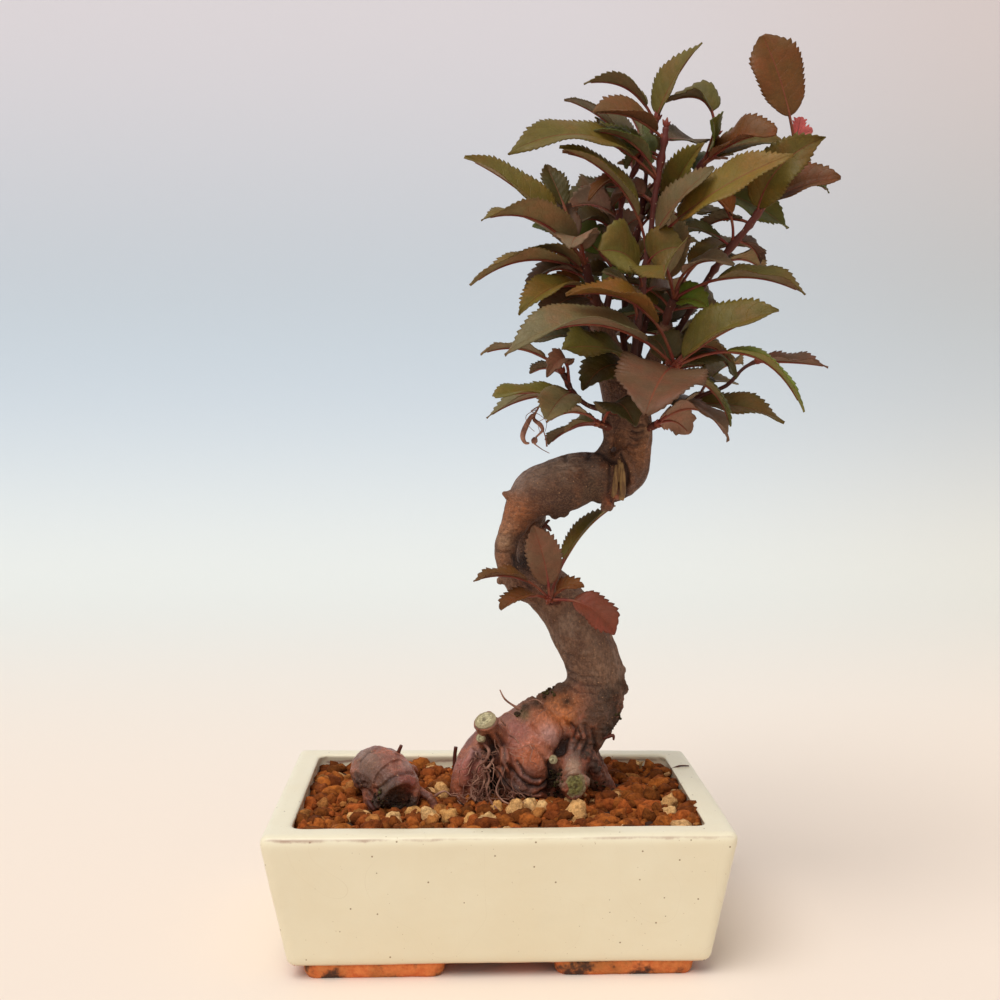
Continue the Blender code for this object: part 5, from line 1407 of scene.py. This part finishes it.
def fine_blade(leaf, root, tip, extra_turn, draw):
    """A leaf's blade as a sheet: saw-toothed, folded on its midrib, waved, cupped and a little twisted."""
    frame_of = blade_frame(leaf, root, tip, extra_turn)
    length = (tip - root).length * (1 - leaf.stalk)
    teeth = max(5, round(length / TOOTH_PITCH))
    rows, columns = 3 * teeth, len(BLADE_COLUMNS) - 1
    bpy.ops.mesh.primitive_grid_add(x_subdivisions=columns, y_subdivisions=rows, size=1)
    blade = bpy.context.object
    blade.data.uv_layers[0].name = "blade"
    fold = math.radians(leaf.fold)
    phase, waves = draw.uniform(0, 6.3), draw.uniform(1.1, 2.2)
    wave = draw.uniform(0.03, 0.07) * leaf.width
    cup, twist = draw.uniform(0.02, 0.08), math.radians(draw.uniform(-14, 14))
    sizes = [[draw.uniform(0.45, 1.25) for _ in range(teeth + 1)] for _ in range(2)]
    for k, v in enumerate(blade.data.vertices):
        row, column = divmod(k, columns + 1)
        out, share = BLADE_COLUMNS[column], row / rows
        place, side, up, heading = on_curve(frame_of, leaf.stalk + (1 - leaf.stalk) * share)
        turn = Matrix.Rotation(twist * share ** 2, 3, heading)
        side, up = turn @ side, turn @ up
        tooth, step = divmod(row, 3)
        size = sizes[out > 0][tooth] * min(1.0, 6 * share, 5 * (1 - share)) * abs(out) ** 8 * TOOTH_REACH
        wide = blade_width(share, leaf) if row else 0.3
        reach = wide + size * (-0.5, 0.35, 1.0)[step]
        lift = reach * abs(out) * math.sin(fold)
        lift += cup * wide * math.sin(math.pi * abs(out))
        ripple = math.sin(phase + waves * 6.28 * share + (1.7 if out > 0 else 0.0))
        lift += wave * out * abs(out) * ripple * min(1, share * 4)
        v.co = placed(place + side * (out * reach * math.cos(fold)) + up * lift
                      + heading * (size * (0.0, 0.5, 1.1)[step]))
    upper, under = TONES[leaf.tone]
    shade = draw.uniform(0.8, 1.18)
    warm = draw.uniform(0.88, 1.14)
    paint(blade, "upper", (upper[0] * shade * warm, upper[1] * shade, upper[2] * shade))
    paint(blade, "under", (under[0] * shade, under[1] * shade, under[2] * shade))
    return blade


def inner_leaves(found):
    """Extra leaves inside the crown, each on a free place beside the settled ones."""
    limbs = {name: limb_parts(points) for name, (points, _) in SHOOTS.items()}
    limbs["wood"] = [part for limb in [TRUNK, *LIMBS.values(), *ROOTS.values()] for part in limb_parts(limb)]
    taken = [leaf_points(*leaf) for made in found.values() for leaf in made]
    draw = random.Random(INNER_SEED)
    made = []
    for n in range(INNER_TRIES):
        name = INNER_STEMS[n % len(INNER_STEMS)]
        at = draw.uniform(0.1, 0.9)
        root = along(SHOOTS[name][0], at)
        turn, climb = draw.uniform(0, math.tau), draw.uniform(-0.25, 0.75)
        reach = draw.uniform(24, 42)
        tip = root + Vector((math.cos(turn), 0.75 * math.sin(turn) + 0.25, climb)).normalized() * reach
        leaf = Leaf(at, 0, 0, 0, reach * draw.uniform(0.38, 0.5), draw.uniform(15, 85), draw.uniform(2, 6),
                    0.2,
                    draw.uniform(12, 26), 0.7, draw.choice(INNER_TONES))
        rows = leaf_points(leaf, root, tip)
        others = sheet_tree([other for other in taken if (other[4][1] - rows[4][1]).length < 60], 1)
        if room_around(rows, limbs, name, None, others, INNER_ROOM) >= INNER_ROOM:
            made.append((name, (leaf, root, tip, 0.0)))
            taken.append(rows)
    return made


def stalk_path(leaf, root, tip, extra_turn):
    """The leaf's stalk, which runs on as the rib under its blade."""
    frame_of = blade_frame(leaf, root, tip, extra_turn)
    made = []
    for k in range(17):
        t = 0.93 * k / 16
        place, _, up, _ = on_curve(frame_of, t)
        share = max(0.0, t - leaf.stalk) / (1 - leaf.stalk)
        if t < leaf.stalk:
            radius = 0.62 + 0.3 * max(0.0, 1 - t / max(leaf.stalk, 0.01) * 3)
        else:
            radius = 0.6 * (1 - share) + 0.13
        made.append((place - up * min(0.25, 2 * share), radius))
    return made


def stem_path(points, roots):
    """A stem's path with a small swelling at each place where a leaf leaves it."""
    made = []
    for point, radius in limb_path(points, 5):
        swell = max((math.exp(-((point - root).length / 1.5) ** 2) for root in roots), default=0.0)
        lump = noise.noise(point * 0.45) * 0.12
        made.append((point, radius * (0.76 + 0.34 * swell + lump)))
    return made


def bud(point, heading, size, name):
    """A small scaled bud that lies against its stem."""
    bpy.ops.mesh.primitive_uv_sphere_add(segments=10, ring_count=8, radius=1)
    made = bpy.context.object
    made.name = name
    turn = heading.to_track_quat("Z", "Y").to_matrix().to_4x4()
    for v in made.data.vertices:
        taper = 1 - 0.5 * max(v.co.z, 0)
        ridge = 1 + 0.06 * math.sin(9 * v.co.z + 3 * math.atan2(v.co.y, v.co.x))
        v.co = Vector((v.co.x * 0.5 * taper * ridge, v.co.y * 0.42 * taper * ridge, v.co.z * 1.1)) * size
    made.data.transform(turn)
    for v in made.data.vertices:
        v.co = placed(v.co + point)
    bpy.ops.object.shade_smooth()
    return made


def tip_buds(points, finishes):
    """Red scaled buds round the end of a stem, one straight on and two beside it."""
    last, ahead = along(points, 1.0), (along(points, 1.0) - along(points, 0.96)).normalized()
    beside = ahead.cross(Vector((0, 1, 0))).normalized()
    made = []
    for lean, size in ((0.0, 2.3), (0.55, 1.9), (-0.6, 1.6)):
        heading = ahead + beside * lean
        made.append(dress(bud(last + heading * size * 0.75, heading, size, "tip_bud"), finishes["stalk"]))
    return made


def dressed_shoot(name, points, leaves, finishes):
    """One shoot with its stem, buds, stalks and blades, in the place of its plain solid."""
    draw = random.Random(name)
    blades = [fine_blade(leaf, root, tip, turn, draw) for leaf, root, tip, turn in leaves]
    sheet = joined(blades, name + "_leaves")
    dress(sheet, finishes["upper"], finishes["under"])
    finish_with(sheet, "SOLIDIFY", thickness=BLADE_THICKNESS * MM, offset=0.0, material_offset=1)
    only(sheet)
    bpy.ops.object.shade_smooth()
    stalks = tubes([stalk_path(*leaf) for leaf in leaves], name + "_stalks", 2)
    dress(stalks, finishes["stalk"])
    stem = tubes([stem_path(points, [leaf[1] for leaf in leaves])], name + "_stem", 4)
    roughen(stem, "CLOUDS", 2.4, 0.35)
    parts = [sheet, stalks, dress(stem, finishes["twig"])]
    for leaf, root, tip, turn in leaves:
        ahead = (along(points, min(leaf.at + 0.05, 1)) - along(points, max(leaf.at - 0.05, 0))).normalized()
        out = (tip - root).normalized()
        out = (out - out.project(ahead)).normalized()
        swelling = bud(root + out * 1.2 + ahead * 1.2, ahead + out * 0.35, 1.5, "bud")
        parts.append(dress(swelling, finishes["stalk"]))
    parts += tip_buds(points, finishes)
    if name in WITHERED:
        threads = tubes([limb_path(bit, 4) for bit in WITHERED[name]], "withered_blossom", 2)
        parts.append(dress(threads, finishes["hair"]))
    return hold(joined(parts, name + "_dressed"), name)


def lip(limb, swell=0.9, inset=0.3, squash=1.0):
    """A roll of bark round the end of a limb: round a cut end, or a collar farther back."""
    end, before = seen(*limb[-1][:3]), seen(*limb[-2][:3])
    radius = limb[-1][3] - inset
    heading = (end - before).normalized()
    turn = heading.to_track_quat("Z", "Y")
    made = []
    for k in range(25):
        angle = math.tau * k / 24
        wander = 1 + 0.06 * math.sin(3 * angle + end.x) + 0.04 * math.sin(5 * angle)
        round_point = end + turn @ Vector((math.cos(angle) * squash, math.sin(angle), 0)) * radius * wander
        made.append((round_point, swell * (1 + 0.3 * math.sin(4 * angle + 1))))
    return made


def build_trunk(finishes):
    """The trunk with its roots, stubs, knots and creases, the creases darkened with painted shade."""
    roots = {**ROOTS, **TURNED_STUBS}

    paths = [limb_path(limb) for limb in [TRUNK, *LIMBS.values(), *roots.values(), *BARK_DETAILS]]
    paths += [lip(roots[name], roll, 0.3, squash) for name, (roll, squash) in CUT_ENDS.items()]
    wood = tubes(paths, "trunk_wood", 4)
    finish_with(wood, "REMESH", mode="VOXEL", voxel_size=TRUNK_VOXEL * MM)
    finish_with(wood, "SMOOTH", factor=0.5, iterations=3)
    roughen(wood, "CLOUDS", 13, 1.3)
    roughen(wood, "CLOUDS", 3.6, 0.45)
    weather(wood, CREASES, ROUGH_SPOTS, BARK_PATCHES)
    only(wood)
    bpy.ops.object.shade_smooth()
    return dress(wood, finishes["bark"])


def on_bark(tree, x, z):
    """The place and the normal where the line of sight through (x, z) of the elevation meets the wood."""
    start = placed(EYE)
    sight = (placed(Vector((x, 0, z))) - start).normalized()
    place, normal, _, _ = tree.ray_cast(start, sight)
    return (place, normal) if place else (None, None)


def hair_roots(tree, draw):
    """Fine curling roots that hang from the left of the base and lie down on the soil."""
    paths = []
    for low_x, high_x, low_z, high_z, count in HAIR_PLACES:
        for _ in range(count):
            place, normal = on_bark(tree, draw.uniform(low_x, high_x), draw.uniform(low_z, high_z))
            if place is None:
                continue
            point = (place - POT_MIDDLE) / MM
            heading = normal * 0.7 + Vector((draw.uniform(-0.8, 0.8), -0.2, draw.uniform(-0.7, 0.3)))
            radius, path, shift = draw.uniform(0.12, 0.28), [], Vector((draw.uniform(0, 90), 0, 0))
            for step in range(draw.randint(12, 30)):
                path.append((point.copy(), radius * (1 - 0.02 * step)))
                falling = point.z > SOIL_LEVEL + 4.5
                bends = [noise.noise(point * 0.22 + shift + Vector((0, far, 0))) for far in (0.0, 31.7, 64.3)]
                curl = Vector(bends) * 1.3
                heading = (heading * 0.8 + curl + Vector((0, -0.06, -0.28 * falling))).normalized()
                if not falling:
                    heading.z = abs(heading.z) * 0.3
                point = point + heading * 1.05
            paths.append(path)
    return tubes(paths, "hair_roots", 1)


def moss_lumps(tree, draw, finishes, places):
    """Small dark clumps of moss and earth in the hollows of the base and the stump."""
    shapes = [grain_shape(draw, 7, 5) for _ in range(4)]
    lumps = []
    for x, z, reach, count in places:
        for _ in range(count):
            place, normal = on_bark(tree, x + draw.uniform(-reach, reach), z + draw.uniform(-reach, reach))
            if place is not None:
                lumps.append(grain_copy(shapes, place + normal * 0.3 * MM, draw.uniform(0.7, 1.7), (0, 0, 0),
                                        draw))
    for shape in shapes:
        bpy.data.objects.remove(shape)
    return dress(joined(lumps, "moss"), finishes["moss"])


def build_stump(finishes):
    """The piece of root that lies in the soil on the left, with its torn collar and a broken end made dark
    with painted shade.
    """
    paths = [limb_path(limb) for limb in (STUMP, STUMP_ROOT, STUMP_FOOT, *STUMP_DETAILS)]
    paths += [lip(STUMP_COLLAR, 0.55, -0.1), lip(STUMP, 1.1, 0.9)]
    stump = tubes(paths, "stump", 4)
    finish_with(stump, "REMESH", mode="VOXEL", voxel_size=STUMP_VOXEL * MM)
    finish_with(stump, "SMOOTH", factor=0.5, iterations=2)
    roughen(stump, "CLOUDS", 7, 0.8)
    roughen(stump, "CLOUDS", 1.8, 0.35)
    weather(stump, STUMP_CREASES, STUMP_ROUGH, STUMP_PATCHES)
    only(stump)
    bpy.ops.object.shade_smooth()
    return dress(stump, finishes["bark"])


def cut_face(limb, finish, name, squash=1.0, dome=0.5):
    """The sawn end of a cut root, a shallow disc with its own map for the rings."""
    end, before = seen(*limb[-1][:3]), seen(*limb[-2][:3])
    heading = (end - before).normalized()
    radius = limb[-1][3] * 0.95
    bpy.ops.mesh.primitive_cylinder_add(vertices=40, radius=radius, depth=1.6, end_fill_type="TRIFAN")
    disc = bpy.context.object
    disc.name = name
    open_mesh()
    bpy.ops.mesh.subdivide(number_cuts=3)
    close_mesh()
    layer = disc.data.uv_layers.new(name="face")
    for loop in disc.data.loops:
        at = disc.data.vertices[loop.vertex_index].co
        layer.data[loop.index].uv = (0.5 + 0.5 * at.x / radius, 0.5 + 0.5 * at.y / radius)
    turn = heading.to_track_quat("Z", "Y")
    for v in disc.data.vertices:
        out = math.hypot(v.co.x, v.co.y) / radius
        if v.co.z > 0:
            v.co.z += dome * (1 - out * out) + 0.25 * noise.noise(v.co * 0.9)
        v.co.x *= squash
        v.co = placed(end + turn @ v.co + heading * 0.35)
    return dress(disc, finish)


def build_wood(finishes):
    """Dresses the trunk and the stump, and gives a search tree of their wood, made before Blender joins
    the parts in an order that differs from run to run."""
    draw = random.Random(WOOD_SEED)
    trunk = build_trunk(finishes)
    stump = build_stump(finishes)
    trunk_tree, stump_tree = wood_tree([trunk]), wood_tree([stump])
    parts = [trunk]
    for name, (_, squash) in CUT_ENDS.items():
        kind = "mossy_cut" if name == "cut_root_right" else "pale_cut"
        parts.append(cut_face({**ROOTS, **TURNED_STUBS}[name], finishes[kind], name, squash))
    slivers = tubes([limb_path(sliver, 4) for sliver in SLIVERS], "slivers", 3)
    parts.append(dress(roughen(slivers, "CLOUDS", 2.0, 0.5), finishes["split"]))
    parts.append(dress(tubes([limb_path(root, 5) for root in FINE_ROOTS], "fine_roots", 2), finishes["hair"]))
    parts.append(dress(tubes([limb_path(root, 5) for root in DARK_TWIGS], "dark_twigs", 3), finishes["twig"]))
    parts.append(dress(hair_roots(trunk_tree, draw), finishes["hair"]))
    twig = dress(tubes([limb_path(limb, 4) for limb in STUMP_TWIGS], "stump_twigs", 3), finishes["twig"])
    whole_tree = wood_tree([*parts, stump, twig])
    parts.append(moss_lumps(trunk_tree, draw, finishes, MOSS_PLACES))
    hold(joined(parts, "trunk_bark"), "trunk")
    moss = moss_lumps(stump_tree, draw, finishes, STUMP_MOSS)
    hold(joined([stump, twig, moss], "stump_bark"), "root_stump")
    return whole_tree


def grain_shape(draw, segments, rings):
    """One blunt-cornered lump of baked clay."""
    bpy.ops.mesh.primitive_uv_sphere_add(segments=segments, ring_count=rings, radius=1)
    lump = bpy.context.object
    shift = Vector((draw.uniform(0, 50), draw.uniform(0, 50), draw.uniform(0, 50)))
    squash = Vector((draw.uniform(0.85, 1.2), draw.uniform(0.7, 1.0), draw.uniform(0.65, 0.9)))
    tilt = Matrix.Rotation(draw.uniform(0, 3), 3,
                           Vector((draw.uniform(-1, 1), draw.uniform(-1, 1), 1)).normalized())
    for v in lump.data.vertices:
        out = tilt @ v.co
        blunt = sum(abs(c) ** 3.2 for c in out) ** (1 / 3.2)
        lumps = 0.92 + 0.42 * noise.noise(v.co * 1.2 + shift) + 0.3 * noise.noise(v.co * 3.6 + shift)
        v.co = v.co / blunt * lumps
        v.co = Vector(v.co[i] * squash[i] for i in range(3))
    bpy.ops.object.shade_smooth()
    return lump


def grain_tone(draw):
    """Mostly red-brown baked clay, with some ochre and a few pale pumice grains."""
    pick = draw.random()
    if pick < 0.9:
        shade = draw.uniform(0.48, 1.56)
        return (0.290 * shade, 0.077 * shade * draw.uniform(0.9, 1.12), 0.014 * shade)
    if pick < 0.965:
        shade = draw.uniform(0.8, 1.2)
        return (0.42 * shade, 0.165 * shade, 0.042 * shade)
    return (0.70, 0.40, 0.165)


def grain_copy(shapes, place, size, tone, draw):
    shape = draw.choice(shapes)
    made = shape.copy()
    made.data = shape.data.copy()
    bpy.context.scene.collection.objects.link(made)
    turn = Matrix.Rotation(draw.uniform(0, 6.28), 4, "Z") @ Matrix.Rotation(draw.uniform(-0.7, 0.7), 4, "X")
    made.data.transform(Matrix.Translation(place) @ turn @ Matrix.Scale(size / 2 * MM, 4))
    return paint(made, "tone", tone)


def wood_tree(objects):
    corners, faces = [], []
    for thing in objects:
        start = len(corners)
        corners += [v.co.copy() for v in thing.data.vertices]
        faces += [tuple(start + i for i in p.vertices) for p in thing.data.polygons]
    return BVHTree.FromPolygons(corners, faces)


def clear_of_wood(tree, place, size):
    """True where a grain's middle is outside the wood and far enough from it."""
    near, normal, _, distance = tree.find_nearest(place)
    outside = (place - near).dot(normal) > 0
    return outside and distance > size * 0.36 * MM


def on_soil(x, z, level):
    """The place on the soil that is seen at (x, z) in the front elevation."""
    sight = Vector((x, 0, z)) - EYE
    return EYE + sight * ((level - EYE.z) / sight.z)


def build_grains(finishes, tree):
    """Grains of baked clay over the soil bed, with pumice among them."""
    draw = random.Random(GRAIN_SEED)
    shapes = [grain_shape(draw, 9, 7) for _ in range(12)]
    stones = [grain_shape(draw, 14, 10) for _ in range(5)]
    half_x, half_y = POT_WIDTH / 2 - RIM_WIDTH - 1.8, POT_DEPTH / 2 - RIM_WIDTH - 1.8
    taken, grains = [], []
    for x, z, width in STONES:
        place = on_soil(x, z, SOIL_LEVEL + 2.6)
        taken.append((place, width * 0.42))
        tone = draw.choice(((0.72, 0.40, 0.15), (0.76, 0.46, 0.19), (0.66, 0.34, 0.11)))
        grains.append(grain_copy(stones, placed(place), width, tone, draw))
    for layer, (level, share, small, large) in enumerate(GRAIN_LAYERS):
        rows = int(2 * half_y / (GRAIN_PITCH * ROW_SHARE))
        for j in range(rows + 1):
            for i in range(int(2 * half_x / GRAIN_PITCH) + 1):
                x = -half_x + (i + 0.5 * (j & 1)) * GRAIN_PITCH + draw.uniform(-1.2, 1.2) + layer * 1.7
                y = -half_y + j * GRAIN_PITCH * ROW_SHARE + draw.uniform(-1.2, 1.2) + layer * 1.1
                size = draw.uniform(small, large)
                x = max(-half_x + 0.2 * size, min(half_x - 0.2 * size, x))
                y = max(-half_y + 0.2 * size, min(half_y - 0.2 * size, y))
                place = Vector((x, y, level + draw.uniform(-1.3, 1.0)))
                if draw.random() > share or any((place - at).length < gap for at, gap in taken):
                    continue
                if clear_of_wood(tree, placed(place), size):
                    grains.append(grain_copy(shapes, placed(place), size, grain_tone(draw), draw))
    for shape in shapes + stones:
        bpy.data.objects.remove(shape)
    made = dress(joined(grains, "clay_grains"), finishes["grain"])
    return add_to(made)


def slab(low_inset, high_inset, bottom, top, corner, name):
    """The pot's outline as a solid between two heights, its walls leaning out and its corners round."""
    bpy.ops.mesh.primitive_cube_add(size=1, location=(0, 0, 0))
    made = bpy.context.object
    made.name = name
    for v in made.data.vertices:
        high = v.co.z > 0
        z = top if high else bottom
        lean = POT_TAPER * (POT_HEIGHT - z) / (POT_HEIGHT - FOOT_HEIGHT)
        inset = lean + (high_inset if high else low_inset)
        v.co = Vector((math.copysign(POT_WIDTH / 2 - inset, v.co.x),
                       math.copysign(POT_DEPTH / 2 - inset, v.co.y), z))
        v.co = v.co * MM + POT_MIDDLE
    for edge in made.data.edges:
        a, b = (made.data.vertices[i].co for i in edge.vertices)
        edge.select = abs(a.z - b.z) > 0.01
    bpy.ops.object.mode_set(mode="EDIT")
    bpy.context.tool_settings.mesh_select_mode = (False, True, False)
    bpy.ops.mesh.bevel(offset=corner * MM, segments=6, profile=0.5, affect="EDGES")
    close_mesh()
    return made


def cut_from(thing, cutter, operation="DIFFERENCE"):
    only(thing)
    step = thing.modifiers.new("Cut", "BOOLEAN")
    step.object = cutter
    step.operation = operation
    step.solver = "EXACT"
    bpy.ops.object.modifier_apply(modifier=step.name)
    bpy.data.objects.remove(cutter)


def build_foot(side, end, finishes):
    """One of the four bare feet, drawn in towards the ground with well-rounded lower edges."""
    half_depth = POT_DEPTH / 2 - POT_TAPER - 0.8
    bpy.ops.mesh.primitive_cube_add(size=1)
    foot = bpy.context.object
    for v in foot.data.vertices:
        slope = FOOT_SLOPE if v.co.z < 0 else 0
        x = (FOOT_OUTER + 1.5 - slope if v.co.x > 0 else FOOT_INNER + slope) * side
        y = (half_depth - slope if v.co.y > 0 else half_depth - FOOT_DEPTH + slope) * end
        v.co = Vector((x, y, FOOT_HEIGHT + 3.6 if v.co.z > 0 else 0)) * MM + POT_MIDDLE
    open_mesh()
    bpy.ops.mesh.normals_make_consistent(inside=False)
    bpy.ops.mesh.bevel(offset=4.6 * MM, segments=6, affect="EDGES")
    close_mesh()
    finish_with(foot, "REMESH", mode="VOXEL", voxel_size=1.0 * MM)
    finish_with(foot, "SMOOTH", factor=0.5, iterations=2)
    roughen(foot, "CLOUDS", 9, 0.7)
    only(foot)
    bpy.ops.object.shade_smooth()
    low = min(v.co.z for v in foot.data.vertices)
    for v in foot.data.vertices:
        v.co.z -= low * (1 - v.co.z / (8.6 * MM)) if v.co.z < 8.6 * MM else 0
    return dress(foot, finishes["clay"])


def build_pot(finishes):
    """The glazed pot on its bare feet, hollow, with its two drain holes."""
    pot = slab(0, 0, FOOT_HEIGHT, POT_HEIGHT, CORNER_RADIUS, "pot_body")
    floor = FOOT_HEIGHT + FLOOR_THICKNESS
    cut_from(pot, slab(WALL_AT_BASE, RIM_WIDTH, floor, POT_HEIGHT + 1, 5, "hollow"))
    for side in (-1, 1):
        bpy.ops.mesh.primitive_cylinder_add(vertices=48, radius=DRAIN_RADIUS * MM, depth=30 * MM)
        drain = bpy.context.object
        drain.data.transform(Matrix.Translation(placed(Vector((side * DRAIN_X, 0, FOOT_HEIGHT)))))
        cut_from(pot, drain)
    finish_with(pot, "REMESH", mode="VOXEL", voxel_size=1.12 * MM)
    finish_with(pot, "SMOOTH", factor=0.5, iterations=3)
    roughen(pot, "CLOUDS", 45, 0.9)
    roughen(pot, "CLOUDS", 9, 0.16)
    warp_rim(pot)
    only(pot)
    bpy.ops.object.shade_smooth()
    dress(pot, finishes["glaze"], finishes["clay"])
    for face in pot.data.polygons:
        face.material_index = int(face.center.z < (FOOT_HEIGHT + 1.0) * MM and face.normal.z < -0.6)
    edge = pot.data.attributes.new("rim_edge", "FLOAT", "POINT")
    edge.data.foreach_set("value", [worn_edge(v.co) for v in pot.data.vertices])
    feet = [build_foot(side, end, finishes) for side in (-1, 1) for end in (-1, 1)]
    return hold(joined([pot, *feet], "glazed_pot"), "pot")


def warp_rim(pot):
    """Fired clay's warp: the back left corner of the rim stands a little higher."""
    for v in pot.data.vertices:
        at = (v.co - POT_MIDDLE) / MM
        high = max(0.0, (at.z - 35) / 26)
        corner = max(0.0, 0.5 - at.x / POT_WIDTH) * max(0.0, 0.5 + at.y / POT_DEPTH)
        v.co.z += 1.8 * MM * high * corner


def worn_edge(place):
    """How worn the glaze is along the outer edges of the rim and down the corners."""
    at = (place - POT_MIDDLE) / MM
    rim = math.exp(-((at.z - POT_HEIGHT) / 1.6) ** 2)
    side = 0.6 * math.exp(-((abs(at.x) - POT_WIDTH / 2) / 1.5) ** 2)
    back = 0.5 * math.exp(-((at.y - POT_DEPTH / 2) / 1.5) ** 2)
    return rim * max(side, back)


def build_stage(finishes):
    """A pale floor that sweeps up behind the tree."""
    bpy.ops.mesh.primitive_plane_add(size=1)
    floor = bpy.context.object
    floor.name = "pale_floor"
    profile = [(-1.6, 0.0), (0.7, 0.0), (0.95, 0.03), (1.15, 0.12), (1.3, 0.3), (1.36, 0.6), (1.38, 2.6)]
    open_mesh()
    bpy.ops.mesh.delete(type="ONLY_FACE")
    close_mesh()
    bm = bmesh.new()
    rows = [[bm.verts.new((x, y, z)) for x in (-2.4, 2.4)] for y, z in profile]
    for a, b in zip(rows, rows[1:]):
        bm.faces.new((a[0], a[1], b[1], b[0]))
    bm.to_mesh(floor.data)
    bm.free()
    finish_with(floor, "SUBSURF", levels=3, render_levels=3)
    only(floor)
    bpy.ops.object.shade_smooth()
    dress(floor, finishes["stage"])


def build_lights():
    """Soft light from above, the front and the left, with an even room round it."""
    data = bpy.data.lights.new("window", "SUN")
    data.energy = WINDOW_STRENGTH
    data.angle = math.radians(WINDOW_ANGLE)
    data.color = WINDOW_COLOUR
    lamp = bpy.data.objects.new("window", data)
    lamp.rotation_euler = Vector(WINDOW_HEADING).to_track_quat("-Z", "Y").to_euler()
    bpy.context.scene.collection.objects.link(lamp)
    world = bpy.data.worlds.new("soft_room")
    world.use_nodes = True
    world.node_tree.nodes["Background"].inputs[0].default_value = ROOM_COLOUR
    world.node_tree.nodes["Background"].inputs[1].default_value = ROOM_STRENGTH
    bpy.context.scene.world = world
    bpy.context.scene.view_settings.view_transform = "Standard"


def build_camera():
    data = bpy.data.cameras.new("front_view")
    data.lens = LENS
    data.sensor_width = SENSOR_WIDTH
    camera = bpy.data.objects.new("front_view", data)
    bpy.context.scene.collection.objects.link(camera)
    yaw, pitch = math.radians(YAW), math.radians(PITCH)
    ahead = Vector((-math.sin(yaw) * math.cos(pitch), math.cos(yaw) * math.cos(pitch), -math.sin(pitch)))
    camera.location = placed(EYE)
    camera.rotation_euler = ahead.to_track_quat("-Z", "Y").to_euler()
    bpy.context.scene.camera = camera


def main():
    finishes = make_finishes()
    build_camera()
    build_lights()
    build_stage(finishes)
    build_pot(finishes)
    dress(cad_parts["soil"], finishes["bed"])
    for name in ("drain_screen_left", "drain_screen_right"):
        dress(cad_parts[name], finishes["plastic"])
    build_grains(finishes, build_wood(finishes))
    found = arrange()
    for name, leaf in inner_leaves(found):
        found[name].append(leaf)
    for name, leaves in found.items():
        dressed_shoot(name, SHOOTS[name][0], leaves, finishes)


main()
